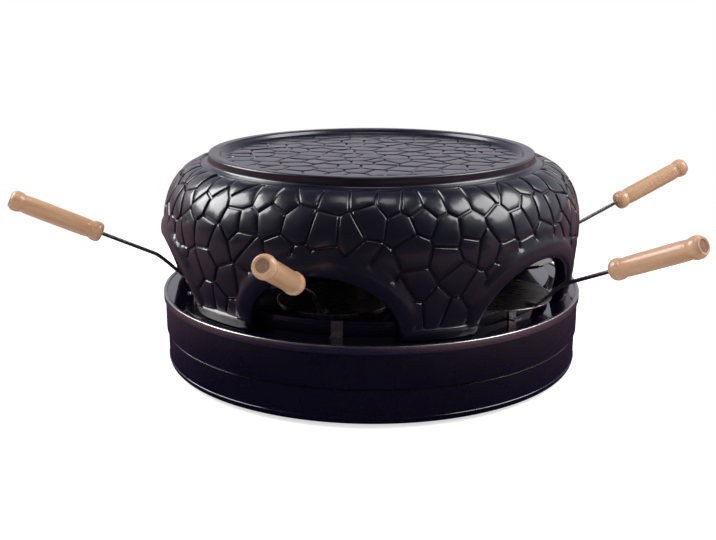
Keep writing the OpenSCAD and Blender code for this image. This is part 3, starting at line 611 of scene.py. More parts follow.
def outer_s(z):
    """Distance along the profile to a height on the outer wall."""
    span = slice(FOOT_START, WALL_END + 1)
    return np.interp(z, PROFILE[span, 1], PROFILE_S[span])


def inner_s(z):
    """Distance along the profile to a height on the inner wall."""
    span = slice(4, INNER_END + 1)
    return np.interp(-z, -PROFILE[span, 1], PROFILE_S[span])


def unrolled(s):
    """Radius and height at a distance along the profile."""
    return np.interp(s, PROFILE_S, PROFILE[:, 0]), np.interp(s, PROFILE_S, PROFILE[:, 1])


def outward(s):
    """Direction in which relief stands out: level near the foot, square to the wall above."""
    r0, z0 = unrolled(s - 0.5)
    r1, z1 = unrolled(s + 0.5)
    long = np.hypot(r1 - r0, z1 - z0)
    square_r, square_z = (z1 - z0) / long, -(r1 - r0) / long
    z = (z0 + z1) / 2
    w = smooth((z - LEVEL_Z) / LEVEL_FADE)
    out_r, out_z = 1 - w + w * square_r, w * square_z
    long = np.hypot(out_r, out_z)
    return out_r / long, out_z / long


def arch_line(grow, n=44):
    """An opening's outline from its left foot to its right foot, moved out by a distance.

    The distance is a number, or a function of the band's width."""
    a = np.linspace(math.pi, 0, n + 1)
    nx = np.cos(a) * ARCH_RISE
    nz = np.sin(a) * ARCH_HALF
    long = np.hypot(nx, nz)
    width = band_width(np.sin(a))
    w = grow(width) if callable(grow) else grow
    x = ARCH_HALF * np.cos(a) + w * nx / long
    z = SPRING_Z + ARCH_RISE * np.sin(a) + w * nz / long
    return x, z


def band_width(rise):
    """Width of the smooth band where the outline has risen by this share."""
    return BAND_FOOT + (BAND_CROWN - BAND_FOOT) * np.sqrt(np.clip(rise, 0, 1))


def arch_distance(x, z):
    """Distance out of the nearest point of an opening's outline, and the band's width there."""
    a = np.linspace(0, math.pi / 2, 121)
    line = np.stack([ARCH_HALF * np.cos(a), SPRING_Z + ARCH_RISE * np.sin(a)], 1)
    x = np.abs(x)
    best = np.full(x.shape, 1e9)
    rise = np.zeros(x.shape)
    for (x0, z0), (x1, z1), a0, a1 in zip(line, line[1:], a, a[1:]):
        dx, dz = x1 - x0, z1 - z0
        t = np.clip(((x - x0) * dx + (z - z0) * dz) / (dx * dx + dz * dz), 0, 1)
        d = np.hypot(x - x0 - t * dx, z - z0 - t * dz)
        near = d < best
        best = np.where(near, d, best)
        rise = np.where(near, np.sin(a0 + t * (a1 - a0)), rise)
    leg = z < SPRING_Z
    best = np.where(leg, np.abs(x - ARCH_HALF), best)
    rise = np.where(leg, 0, rise)
    inside = np.where(leg, x < ARCH_HALF,
                      (x / ARCH_HALF) ** 2 + ((z - SPRING_Z) / ARCH_RISE) ** 2 < 1)
    return np.where(inside, -best, best), band_width(rise)


def band_stand(z):
    return BAND_OUT * (1 - 0.7 * smooth((z - BULGE_Z + 8) / 18.0))


class Stones:
    """Irregular flat stones: the cells round jittered seeds, in a plane that may close on itself."""

    def __init__(self, seed, low, high, size, wrap, disc=None):
        chance = np.random.default_rng(seed)
        (x0, y0), (x1, y1) = low, high
        wide, tall = size
        columns = max(int(round((x1 - x0) / wide)), 1)
        rows = max(int(round((y1 - y0) / tall)), 1)
        step_x, step_y = (x1 - x0) / columns, (y1 - y0) / rows
        seeds = []
        for row in range(rows):
            shift = 0.5 * (row % 2) + chance.uniform(-0.1, 0.1)
            for column in range(columns):
                jx, jy = chance.uniform(-0.34, 0.34, 2)
                seeds.append((x0 + (column + shift + 0.25 + jx) * step_x, y0 + (row + 0.5 + jy) * step_y))
        self.seeds = np.array(seeds)
        self.wrap = wrap
        self.top = y1
        if wrap:
            self.seeds[:, 0] = x0 + (self.seeds[:, 0] - x0) % wrap
        self.tall = tall / wide
        if disc:
            self.seeds = self.seeds[np.hypot(*self.seeds.T) < disc + wide]
        self.cells()
        self.tilt = chance.uniform(-0.035, 0.035, (len(self.seeds), 2))
        self.lift = chance.uniform(-0.18, 0.18, len(self.seeds))

    def copies(self):
        """Seeds with their neighbours past the seam, and the index of each one's own seed."""
        index = np.arange(len(self.seeds))
        if not self.wrap:
            return self.seeds, index
        shift = np.array([self.wrap, 0])
        return (np.concatenate([self.seeds - shift, self.seeds, self.seeds + shift]),
                np.concatenate([index, index, index]))

    def cells(self):
        """Each cell's outline and its edges, as (point, inward direction)."""
        every, _ = self.copies()
        flat = every * [1, 1 / self.tall]
        self.outline = []
        self.edges = []
        for x, y in self.seeds:
            here = np.array([x, y / self.tall])
            gap = np.hypot(*(flat - here).T)
            near = np.argsort(gap)[1:26]
            reach_mm = 90.0
            shape = [(x - reach_mm, y - reach_mm), (x + reach_mm, y - reach_mm),
                     (x + reach_mm, y + reach_mm), (x - reach_mm, y + reach_mm)]
            for other in near:
                middle = (flat[other] + here) / 2
                toward = here - flat[other]
                point = (middle[0], middle[1] * self.tall)
                shape = clip(shape, point, (toward[0], toward[1] / self.tall))
            shape = clip(shape, (x, self.top), (0, -1))
            edges = []
            for (ax, ay), (bx, by) in zip(shape, shape[1:] + shape[:1]):
                long = math.hypot(bx - ax, by - ay)
                if long > 1e-6:
                    edges.append((ax, ay, -(by - ay) / long, (bx - ax) / long))
            self.outline.append(shape)
            self.edges.append(np.array(edges))

    def ring(self, i, inset, spacing):
        """Closed line of points inside a cell's outline, or None where the cell is too small."""
        shape = self.outline[i]
        for ax, ay, nx, ny in self.edges[i]:
            shape = clip(shape, (ax + nx * inset, ay + ny * inset), (nx, ny))
            if len(shape) < 3:
                return None
        points = []
        for (ax, ay), (bx, by) in zip(shape, shape[1:] + shape[:1]):
            steps = max(int(round(math.hypot(bx - ax, by - ay) / spacing)), 1)
            points += [(ax + (bx - ax) * k / steps, ay + (by - ay) * k / steps) for k in range(steps)]
        return np.array(points)

    def depth(self, points):
        """For each point: its cell, how far it is inside the cell, and its offset from the seed."""
        every, index = self.copies()
        flat = every * [1, 1 / self.tall]
        cell = np.zeros(len(points), int)
        offset = np.zeros((len(points), 2))
        for start in range(0, len(points), 4000):
            some = points[start:start + 4000]
            gap = ((some[:, None, :] * [1, 1 / self.tall] - flat[None]) ** 2).sum(2)
            nearest = gap.argmin(1)
            cell[start:start + 4000] = index[nearest]
            offset[start:start + 4000] = some - every[nearest]
        inside = np.zeros(len(points))
        order = np.argsort(cell, kind="stable")
        for group in np.split(order, np.nonzero(np.diff(cell[order]))[0] + 1):
            i = cell[group[0]]
            local = offset[group] + self.seeds[i]
            edges = self.edges[i]
            away = ((local[:, None, 0] - edges[None, :, 0]) * edges[None, :, 2]
                    + (local[:, None, 1] - edges[None, :, 1]) * edges[None, :, 3])
            inside[group] = away.min(1)
        return cell, inside, offset

    def height(self, points, crest):
        """Relief at each point: a flat-floored groove, a bevel, and a gently crowned face."""
        cell, inside, offset = self.depth(points)
        crown = crest * (1 - (1 - np.clip(inside / 9, 0, 1)) ** 2)
        face = 0.35 + crown + self.lift[cell] + (self.tilt[cell] * offset).sum(1)
        bevel = np.clip((inside - GROOVE) / BEVEL, 0, 1)
        ease = 0.14 * (1 - np.clip((inside - GROOVE - BEVEL) / EASE, 0, 1)) * (bevel >= 1)
        edge = face - 0.14
        return np.where(bevel < 1, -GROOVE_DEPTH + (edge + GROOVE_DEPTH) * bevel, face - ease)


def clip(shape, point, inward):
    """The part of a convex shape on the inner side of a line."""
    px, py = point
    nx, ny = inward
    result = []
    for (ax, ay), (bx, by) in zip(shape, shape[1:] + shape[:1]):
        a = (ax - px) * nx + (ay - py) * ny
        b = (bx - px) * nx + (by - py) * ny
        if a >= 0:
            result.append((ax, ay))
        if (a >= 0) != (b >= 0):
            t = a / (a - b)
            result.append((ax + (bx - ax) * t, ay + (by - ay) * t))
    return result


class Sheet:
    """Points and lines in a plane, to be joined into triangles that follow every line."""

    def __init__(self):
        self.points = []
        self.lines = []

    def scatter(self, points):
        self.points += [tuple(p) for p in points]

    def line(self, points, closed=False):
        start = len(self.points)
        self.points += [tuple(p) for p in points]
        self.lines += [(start + i, start + i + 1) for i in range(len(points) - 1)]
        if closed:
            self.lines.append((start + len(points) - 1, start))

    def rings(self, stones, spacing, clear, shifts=(0,), low=-math.inf, high=math.inf):
        """Lines round each stone's groove, bevel and softened edge, where clear(points) lets them pass.

        They are drawn again at each shift that brings them between low and high."""
        for inset in (GROOVE, GROOVE + BEVEL, EDGE_IN):
            for i in range(len(stones.seeds)):
                ring = stones.ring(i, inset, spacing)
                if ring is None:
                    continue
                closed = np.concatenate([ring, ring[:1]])
                passes = clear(closed)
                for shift in shifts:
                    copy = closed + [shift, 0]
                    if copy[:, 0].max() < low or copy[:, 0].min() > high:
                        continue
                    for run in np.split(np.arange(len(copy)), np.nonzero(~passes)[0]):
                        run = run[passes[run]]
                        if len(run) > 1:
                            self.line(copy[run])

    def triangles(self):
        points, _, faces, _, _, _ = delaunay_2d_cdt(
            [Vector(p) for p in self.points], self.lines, [], 0, 1e-4, False)
        return np.array([tuple(p) for p in points]), np.array([tuple(f) for f in faces])


def within(shape, points):
    """Which points lie inside a closed outline."""
    inside = np.zeros(len(points), bool)
    low, high = shape.min(0), shape.max(0)
    near = np.nonzero(((points > low) & (points < high)).all(1))[0]
    x, y = points[near].T
    hit = np.zeros(len(near), bool)
    for (ax, ay), (bx, by) in zip(shape, np.roll(shape, -1, 0)):
        crosses = (ay > y) != (by > y)
        with np.errstate(divide="ignore", invalid="ignore"):
            at = (bx - ax) * (y - ay) / (by - ay) + ax
        hit ^= crosses & (x < at)
    inside[near] = hit
    return inside


def hex_points(low, high, gap):
    """Evenly spread points over a rectangle."""
    rows = int((high[1] - low[1]) / (gap * 0.866)) + 1
    columns = int((high[0] - low[0]) / gap) + 1
    return np.array([(low[0] + (i + 0.5 * (j % 2)) * gap, low[1] + (j + 0.5) * gap * 0.866)
                     for j in range(rows) for i in range(columns)])


def opening_x(u):
    """Angle from the middle of the nearest opening, in radians, for a place on the unrolled wall."""
    step = math.radians(STEP)
    theta = u / SIDE_SCALE
    return theta - step * np.round(theta / step)


def from_openings(points):
    """For unrolled points: distance from the nearest opening's outline, its band's width, and height."""
    r, z = unrolled(points[:, 1])
    return (*arch_distance(r * np.sin(opening_x(points[:, 0])), z), z)


def off_bands(points):
    """Which unrolled points are clear enough of the bands for a stone's lines."""
    distance, width, z = from_openings(points)
    return (distance > width - 3.5) & (z > DOME_Z + FOOT_BAND + 1.2)


def relief(points, stones):
    """How far each point of the outer wall stands out of the plain wall, and how far its lip turns in."""
    s = points[:, 1]
    distance, width, z = from_openings(points)
    stone = stones.height(points, SIDE_CREST)
    # the top row of stones ends in a bevel against the collar
    collar = smooth((s - S_TOP + 0.2) / 0.4)
    stone = stone * (1 - collar) + 0.1 * collar
    share = np.clip(distance / width, 0, 1)
    crowned = band_stand(z) * (1 - 0.22 * (2 * share - 1) ** 2)
    band = -SUNK + (crowned + SUNK) * smooth((width + 3 - distance) / 8.5)
    up = z - DOME_Z
    stone = stone + FOOT_SWELL * (1 - smooth((up - FOOT_BAND) / SWELL_H))
    foot = -SUNK + (BAND_OUT + SUNK) * np.clip((FOOT_BAND + 2.4 - up) / 3.0, 0, 1) ** 0.7
    foot = np.where(up < FOOT_BAND - 0.6, BAND_OUT, foot)
    smooth_part = soft_max(band, foot, 1.2)
    height = np.where((z < BAND_END_Z) & (s < S_TOP), soft_max(stone, smooth_part, 0.5), stone)
    turn_in = np.clip(1 - distance / LIP_R, 0, 1)
    lip = LIP_R * (1 - np.sqrt(1 - turn_in ** 2))
    return height, np.where(z < LIP_END_Z, lip, 0)


def soft_max(a, b, k):
    blend = np.clip(0.5 + 0.5 * (a - b) / k, 0, 1)
    return b + (a - b) * blend + k * blend * (1 - blend)


def wall_points(points, stones):
    """The unrolled wall's points in space."""
    u, s = points.T
    r, z = unrolled(s)
    theta = u / SIDE_SCALE
    outer = s > PROFILE_S[FOOT_START] - 1e-6
    height, lip = relief(points, stones)
    height = np.where(s > S_TOP + 0.3, 0, height)
    out_r, out_z = outward(s)
    foot_part = s < S_FOOT
    out_r, out_z = np.where(foot_part, 1, out_r), np.where(foot_part, 0, out_z)
    height = np.where(foot_part, BAND_OUT, height)
    new_r = np.where(outer, r + height * out_r - lip, r)
    # under the foot the lip only takes what it reaches
    sole = (s > PROFILE_S[INNER_END]) & (s < S_FOOT)
    limit = field_r(DOME_Z) + BAND_OUT - lip
    spread = np.where(sole, np.minimum(np.where(outer, r + BAND_OUT, r), limit), new_r)
    new_z = np.where(outer, z + height * out_z, z)
    return np.stack([spread * np.sin(theta), -spread * np.cos(theta), new_z], 1)


def to_wall(x, s, opening):
    """Unrolled place of a point x to the side of an opening's middle."""
    r, _ = unrolled(s)
    return np.stack([SIDE_SCALE * (np.arcsin(x / r) + math.radians(opening * STEP)), s], 1)


SOLE_S = np.linspace(PROFILE_S[INNER_END], PROFILE_S[FOOT_START], 4)[1:-1]
LEG_Z = np.linspace(DOME_Z + FOOT_ROUND, SPRING_Z, 4)


def opening_outline(opening):
    """Closed unrolled outline of what an opening removes from the outer wall, sole and inner wall."""
    x, z = arch_line(0)
    foot_s = PROFILE_S[FOOT_START:WALL_START + 1]
    inner_leg_s = inner_s(np.linspace(DOME_Z, SPRING_Z, 3))[:-1]
    up_s = np.concatenate([SOLE_S, foot_s, outer_s(LEG_Z[1:-1])])
    left_up = to_wall(np.full(len(up_s), -ARCH_HALF), up_s, opening)
    over = to_wall(x, outer_s(z), opening)
    right_down = to_wall(np.full(len(up_s), ARCH_HALF), up_s[::-1], opening)
    in_x, in_z = x[::-1], z[::-1]
    right_in = to_wall(np.full(len(inner_leg_s), ARCH_HALF), inner_leg_s, opening)
    inner_over = to_wall(in_x, inner_s(in_z), opening)
    left_in = to_wall(np.full(len(inner_leg_s), -ARCH_HALF), inner_leg_s[::-1], opening)
    return np.concatenate([left_up, over, right_down, right_in, inner_over, left_in])


def lip_lines(opening):
    """Lines alongside an opening on the outer wall, close together where its lip rounds in."""
    lines = []
    lip_gaps = [LIP_R * (1 - math.cos(math.radians(t))) for t in (25, 45, 62, 78, 90)]
    shares = (0.2, 0.4, 0.6, 0.8, 1.0)
    for gap in lip_gaps + [None] * len(shares):
        if gap is None:
            share = shares[len(lines) - len(lip_gaps)]
            x, z = arch_line(lambda w: LIP_R + (w + 2 - LIP_R) * share)
            side = LIP_R + (BAND_FOOT + 2 - LIP_R) * share
        else:
            x, z = arch_line(gap)
            side = gap
        leg_s = outer_s(LEG_Z[:-1])
        up = to_wall(np.full(3, -ARCH_HALF - side), leg_s, opening)
        over = to_wall(x, outer_s(z), opening)
        down = to_wall(np.full(3, ARCH_HALF + side), leg_s[::-1], opening)
        lines.append(np.concatenate([up, over, down]))
    return lines


def pillar_rows():
    """Level lines across each pillar: the foot's rounding, the sole and the ledge over the foot band."""
    rows = list(PROFILE_S[FOOT_START:WALL_START + 1]) + list(SOLE_S) + [PROFILE_S[INNER_END]]
    rows += [outer_s(DOME_Z + FOOT_BAND + lift) for lift in (-2.5, -0.6, 0.1, 0.9, 1.7, 2.4, 3.2)]
    lines = []
    for s in rows:
        r, z = unrolled(s)
        if s <= S_FOOT or z < SPRING_Z:
            edge_x = ARCH_HALF
        else:
            edge_x = ARCH_HALF * math.sqrt(1 - ((z - SPRING_Z) / ARCH_RISE) ** 2)
        half = math.asin(edge_x / r)
        for opening in range(OPENINGS):
            a = math.radians(opening * STEP - STEP) + half
            b = math.radians(opening * STEP) - half
            if s > S_FOOT:
                a += 3.0 / r
                b -= 3.0 / r
            line = np.linspace(a, b, 24)
            for turn in (0, 2 * math.pi):
                lines.append(np.stack([SIDE_SCALE * (line + turn), np.full(24, s)], 1))
    return lines


def build_wall():
    """The dome's wall, inside and out, with its stones, bands, lips and rim."""
    u0, u1 = SEAM * SIDE_SCALE, SEAM * SIDE_SCALE + TURN
    stones = Stones(11, (u0, outer_s(DOME_Z + 8)), (u1, S_TOP), (STONE_W, STONE_H), TURN)
    sheet = Sheet()
    low, high = u0 - PAST_SEAM, u1 + PAST_SEAM
    sheet.rings(stones, LINE_GAP, off_bands, (-TURN, 0, TURN), low, high)
    # faces of the stones, on a grid that repeats past the seam
    grid = hex_points((low, outer_s(DOME_Z + FOOT_BAND)), (high, S_TOP), FACE_GAP)
    grid[:, 0] = u0 + (grid[:, 0] - u0) * (TURN / round(TURN / FACE_GAP)) / FACE_GAP
    _, inside, _ = stones.depth(np.stack([u0 + (grid[:, 0] - u0) % TURN, grid[:, 1]], 1))
    distance, width, _ = from_openings(grid)
    sheet.scatter(grid[(inside > EDGE_IN + 1.8) & (distance > width + 3.5)])
    for opening in range(-1, OPENINGS + 1):
        outline = opening_outline(opening)
        sheet.line(outline, closed=True)
        for line in lip_lines(opening):
            sheet.line(line)
    for line in pillar_rows():
        sheet.line(line)
    # the rim's rows, the ceiling's edge and the inner wall
    round_u = np.linspace(u0, u1, ROUND_STEPS + 1)
    for s in PROFILE_S[WALL_END:]:
        sheet.line(np.stack([round_u, np.full(ROUND_STEPS + 1, s)], 1))
    coarse_u = np.linspace(u0, u1, ROUND_STEPS // 2 + 1)
    for s in PROFILE_S[:10]:
        sheet.line(np.stack([coarse_u, np.full(len(coarse_u), s)], 1))
    inner_grid = hex_points((u0 + 4, PROFILE_S[10] - 4), (u1 - 4, PROFILE_S[INNER_END] - 4), 9.0)
    sheet.scatter(inner_grid[from_openings(inner_grid)[0] > 4])
    # both edges of the seam
    seam_s = np.unique(np.concatenate([PROFILE_S[[0, -1]], PROFILE_S[WALL_END:], PROFILE_S[:10],
                                       np.arange(PROFILE_S[0], S_TOP, LINE_GAP)]))
    for u in (u0, u1):
        sheet.line(np.stack([np.full(len(seam_s), u), seam_s], 1))

    points, faces = sheet.triangles()
    middle = points[faces].mean(1)
    keep = (middle[:, 0] > u0) & (middle[:, 0] < u1)
    keep &= (middle[:, 1] > PROFILE_S[0]) & (middle[:, 1] < PROFILE_S[-1])
    for opening in range(-1, OPENINGS + 1):
        keep &= ~within(opening_outline(opening), middle)
    faces = faces[keep]
    used = np.unique(faces)
    number = np.zeros(len(points), int)
    number[used] = np.arange(len(used))
    return wall_points(points[used], stones), [tuple(f) for f in number[faces]], stones


def build_reveals(stones):
    """The straight faces through the wall, all round each opening."""
    parts = []
    x, z = arch_line(0)
    leg_z = np.concatenate([PROFILE[FOOT_START:WALL_START + 1, 1], LEG_Z[1:-1]])
    x = np.concatenate([np.full(len(leg_z), -ARCH_HALF), x, np.full(len(leg_z), ARCH_HALF)])
    z = np.concatenate([leg_z, z, leg_z[::-1]])
    s = outer_s(z)
    for opening in range(OPENINGS):
        outer = wall_points(to_wall(x, s, opening), stones)
        back = turned(-opening * STEP).to_3x3()
        local = np.array([back @ Vector(p) for p in outer])
        inner_r = field_r(np.minimum(z, BULGE_Z)) - WALL_T
        inner = np.stack([x, -np.sqrt(inner_r ** 2 - x ** 2), z], 1)
        rows = [local + (inner - local) * t for t in (0, 0.25, 0.5, 0.75, 1)]
        n = len(x)
        faces = [(k * n + i, k * n + i + 1, (k + 1) * n + i + 1, (k + 1) * n + i)
                 for k in range(len(rows) - 1) for i in range(n - 1)]
        parts.append(moved((np.concatenate(rows), faces), turned(opening * STEP)))
    return merged(*parts)


def build_disc(radius, z, relief_stones, steps):
    """A flat round face, with stones where they are given, inside the wall's first or last row."""
    turn = SEAM + 2 * math.pi * np.arange(steps) / steps
    edge = np.stack([radius * np.sin(turn), -radius * np.cos(turn)], 1)
    sheet = Sheet()
    sheet.line(edge, closed=True)
    if relief_stones is None:
        grid = hex_points((-radius, -radius), (radius, radius), 16.0)
        sheet.scatter(grid[np.hypot(*grid.T) < radius - 8])
    else:
        sheet.rings(relief_stones, 3.0, lambda line: np.hypot(*line.T) < radius - 1.5)
        grid = hex_points((-radius, -radius), (radius, radius), 6.0)
        _, inside, _ = relief_stones.depth(grid)
        sheet.scatter(grid[(np.hypot(*grid.T) < radius - 2) & (inside > EDGE_IN + 2)])
    points, faces = sheet.triangles()
    middle = points[faces].mean(1)
    faces = faces[np.hypot(*middle.T) < radius]
    height = np.zeros(len(points))
    if relief_stones is not None:
        height = relief_stones.height(points, TOP_CREST)
        height = height * TOP_SHARE * smooth((radius - np.hypot(*points.T)) / TOP_FADE)
    return np.column_stack([points, z + height]), [tuple(f) for f in faces]


def weld(part, gap=0.02):
    """Joins points that lie on each other, and turns every face outward."""
    import bmesh
    points, faces = part
    mesh = bpy.data.meshes.new("weld")
    mesh.from_pydata([tuple(p) for p in points], [], faces)
    bm = bmesh.new()
    bm.from_mesh(mesh)
    bmesh.ops.remove_doubles(bm, verts=bm.verts, dist=gap)
    bmesh.ops.dissolve_degenerate(bm, dist=1e-4, edges=bm.edges)
    bmesh.ops.recalc_face_normals(bm, faces=bm.faces)
    bm.verts.index_update()
    result = ([tuple(v.co) for v in bm.verts], [tuple(v.index for v in f.verts) for f in bm.faces])
    bm.free()
    bpy.data.meshes.remove(mesh)
    return result


def build_dome():
    wall, faces, stones = build_wall()
    edge = FLOOR_R + 30
    floor_stones = Stones(5, (-edge, -edge), (edge, edge), (22.0, 21.0), None, FLOOR_R)
    top = build_disc(FLOOR_R, FLOOR_Z, floor_stones, ROUND_STEPS)
    ceiling = build_disc(PROFILE[0, 0], CEILING_Z, None, ROUND_STEPS // 2)
    whole = weld(merged((wall, faces), build_reveals(stones), top, ceiling))
    piece = add_piece("stone_dome", *whole, [GLAZE], "dome", "dome_glaze", sharp=50)
    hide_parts("dome")


build_dome()


# ---------------------------------------------------------------- base

def add_turned(name, corners, material, body, slot, node, segments=360, extra=None, sharp=40):
    """A piece turned from a closed profile of (radius, z, rounding), in place of a CAD node."""
    part = revolve(rounded(corners), segments)
    if extra:
        part = merged(part, *extra)
    piece = add_piece(name, *part, [material], body, slot, sharp=sharp)
    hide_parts(node)
    return piece


def placed(angle, distance, z):
    """Places a part made about Z so that its Z axis points out of the base at an angle."""
    return (turned(angle) @ Matrix.Translation((0, -distance, z))
            @ Matrix.Rotation(math.radians(90), 4, "X"))


UPPER_R = reach("base_shell")
LOWER_R = UPPER_R - 1.5
SHELL_Z, FLANGE_Z = levels("base_shell")
STEP_Z = SHELL_Z + 31
BEAD_Z = SHELL_Z + 5.3
SHEET = 1.6
SWITCH_Z = 49.0
ENTRY_DIR = 198
ENTRY_Z = 19.0


def rounded_box(width, height, depth, corner, edge):
    """A box about Z with rounded corners and a rounded front edge, from z = 0 to its depth."""
    outline = rounded([(width / 2 * x, height / 2 * y, corner) for x, y in ((-1, -1), (1, -1), (1, 1), (-1, 1))])
    rows = [(0, 0)] + [(edge * (1 - math.cos(math.radians(t))), depth - edge + edge * math.sin(math.radians(t)))
                       for t in (0, 22, 45, 68, 90)]
    points = [(x * (1 - 2 * inset / width), y * (1 - 2 * inset / height), z)
              for inset, z in rows for x, y in outline]
    n = len(outline)
    faces = [[i * n + j, i * n + (j + 1) % n, (i + 1) * n + (j + 1) % n, (i + 1) * n + j]
             for i in range(len(rows) - 1) for j in range(n)]
    return points, faces + [list(range((len(rows) - 1) * n, len(rows) * n))]


def build_shell():
    shell = [(LOWER_R - 6, SHELL_Z, 0.4), (LOWER_R, SHELL_Z, 3.5), (LOWER_R, BEAD_Z - 0.9, 0.3),
             (LOWER_R + 0.5, BEAD_Z - 0.5, 0.35), (LOWER_R + 0.5, BEAD_Z + 0.5, 0.35),
             (LOWER_R, BEAD_Z + 0.9, 0.3), (LOWER_R, STEP_Z - 1.3, 0.5), (LOWER_R - 0.8, STEP_Z - 0.6, 0.25),
             (LOWER_R - 0.8, STEP_Z, 0.25), (UPPER_R, STEP_Z + 0.9, 0.9), (UPPER_R, FLANGE_Z, 0.4),
             (UPPER_R - 15, FLANGE_Z, 0), (UPPER_R - 15, FLANGE_Z - SHEET, 0),
             (UPPER_R - SHEET, FLANGE_Z - SHEET, 0), (UPPER_R - SHEET, STEP_Z + 2, 0),
             (LOWER_R - SHEET - 0.8, STEP_Z - 1, 0), (LOWER_R - SHEET - 0.8, SHELL_Z + 3.5, 0),
             (LOWER_R - 6, SHELL_Z + SHEET, 0)]
    pad = moved(rounded_box(24.8, 25.8, 3.6, 2.5, 0.6), placed(180, UPPER_R - 3, SWITCH_Z))
    boss_line = rounded([(0, 0.6, 0), (9.6, 0.6, 0.5), (9.6, -3.0, 0)], False)
    boss = moved(revolve(boss_line, 64, False), placed(ENTRY_DIR, LOWER_R, ENTRY_Z))
    add_turned("shell", shell, PAINT, "base", "base_paint", "base_shell", 480, [pad, boss])


def build_ring():
    inner = UPPER_R + 0.2
    lip_r = RING_R - 3.5
    ring = [(inner, RING_LOW_Z, 0.3), (RING_R, RING_LOW_Z, 0.45), (RING_R, RIM_Z, 1.05),
            (lip_r, RIM_Z, 0.45), (lip_r, PAN_Z, 0), (inner, PAN_Z, 0)]
    add_turned("steel_ring", ring, RING, "base", "ring_steel", "trim_ring", 480)


PAN_T = 1.2
WELL_R = PLATE_R - 13
WELL_Z = levels("drip_pan")[0] + PAN_T


def build_pan():
    pan = [(UPPER_R, PAN_Z, 0), (WELL_R + 1.2, PAN_Z, 3.5), (WELL_R - 5.8, WELL_Z, 3.5), (13.2, WELL_Z, 0),
           (13.2, WELL_Z - PAN_T, 0), (WELL_R - 6.8, WELL_Z - PAN_T, 2.5), (WELL_R, PAN_Z - PAN_T, 2.5),
           (UPPER_R, PAN_Z - PAN_T, 0)]
    add_turned("enamel_pan", pan, ENAMEL, "base", "pan_enamel", "drip_pan", 480)


CLIP_TURN = 3
CLIP_SPREAD = 55
CLIP_DIRS = [i * 120 + turn for i in range(3) for turn in (CLIP_TURN, CLIP_TURN + CLIP_SPREAD)]
NOTCH_HALF = 5.2
NOTCH_W = 2.8
NOTCH_DEPTH = 1.0


def build_plate():
    """The baking plate, notched where the clips hook over it."""
    hole_r = 13.2
    notch_r = PLATE_R - NOTCH_W
    line = rounded([(hole_r, PLATE_Z, 0.3), (notch_r, PLATE_Z, 0), (notch_r + 0.03, PLATE_Z, 0),
                    (PLATE_R, PLATE_Z, 1.1), (PLATE_R, PAN_Z, 0.5), (PLATE_R - 1.8, PAN_Z, 0.4),
                    (PLATE_R - 1.8, PLATE_Z - 2.5, 2), (hole_r, PLATE_Z - 2.5, 0)])
    half = NOTCH_HALF / PLATE_R
    edges = [math.radians(a) + side * (half + gap) for a in CLIP_DIRS for side in (-1, 1) for gap in (-3e-4, 3e-4)]
    turn = np.sort(np.concatenate([np.linspace(0, 2 * math.pi, 480, endpoint=False), np.mod(edges, 2 * math.pi)]))
    points = []
    for r, z in line:
        off = np.min([np.abs((turn - math.radians(a) + math.pi) % (2 * math.pi) - math.pi) for a in CLIP_DIRS], axis=0)
        low = (off < half) & (r > notch_r + 0.01)
        height = np.where(low, np.minimum(z, PLATE_Z - NOTCH_DEPTH), z)
        points.append(np.stack([r * np.sin(turn), -r * np.cos(turn), height], 1))
    n = len(turn)
    rows = len(line)
    faces = [(i * n + j, i * n + (j + 1) % n, (i + 1) % rows * n + (j + 1) % n, (i + 1) % rows * n + j)
             for i in range(rows) for j in range(n)]
    part = weld((np.concatenate(points), faces), 0.004)
    piece = add_piece("coated_plate", *part, [COATING], "base", "plate_coating", sharp=40)
    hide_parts("baking_plate")


def soften(nodes, width=0.35):
    """Rounds the sharp edges of CAD nodes that are shown as they are."""
    for name in nodes:
        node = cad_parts[name]
        joined = node.modifiers.new("Joined", "WELD")
        joined.merge_threshold = 1e-6
        edge = node.modifiers.new("Edges", "BEVEL")
        edge.width = width * MM
        edge.segments = 2
        edge.limit_method = "ANGLE"
        edge.angle_limit = math.radians(40)


build_shell()
build_ring()
build_pan()
build_plate()
soften(["heater_spider", "column_cap", "bottom_cover", "switch_housing", "switch_rocker", "cord_gland"])


# ---------------------------------------------------------------- upper heater

HEATER_R = 3.5
HEATER_Z = levels("upper_heater")[1] - HEATER_R - 0.35
HEATER_RING_R = 82.0
HEATER_GAP = 16
LEG_X = HEATER_R + 0.8


def build_heater():
    """One tube: up the column, out along two arms and round the ring."""
    half = math.radians(HEATER_GAP / 2)
    end_x, end_y = HEATER_RING_R * math.sin(half), -HEATER_RING_R * math.cos(half)
    ring = [(HEATER_RING_R * math.sin(a), -HEATER_RING_R * math.cos(a), HEATER_Z)
            for a in np.linspace(half + 0.09, 2 * math.pi - half - 0.09, 121)]
    low_z = levels("upper_heater")[0] + 10
    first = rounded([(LEG_X, 0, low_z, 0), (LEG_X, 0, HEATER_Z, 6), (end_x, end_y, HEATER_Z, 7), (*ring[0], 0)], False, 8)
    last = [(-x, y, z) for x, y, z in first[::-1]]
    path = first[:-1] + ring + last[1:]
    tube = swept(path, [oval(HEATER_R, HEATER_R, 24)] * len(path), (1, 0, 0))
    tabs = [moved(rounded_box(6, 0.8, 9, 0.3, 0.2), Matrix.Translation((side * LEG_X, 0, low_z - 10)))
            for side in (-1, 1)]
    piece = add_piece("heater_tube", *merged(tube, *tabs), [SHEATH], "base", "heater_sheath", sharp=40)
    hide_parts("upper_heater")


build_heater()


# ---------------------------------------------------------------- spatulas

ROD_R = 1.7
ROD_SLOPE = math.radians(24.2)
BEND_AT = 79.5                        # distances are from the blade's centre
BEND_RISE = 26.0
HANDLE_AT = 125.0
HANDLE_L = 85.3
DISC_R = 5.2


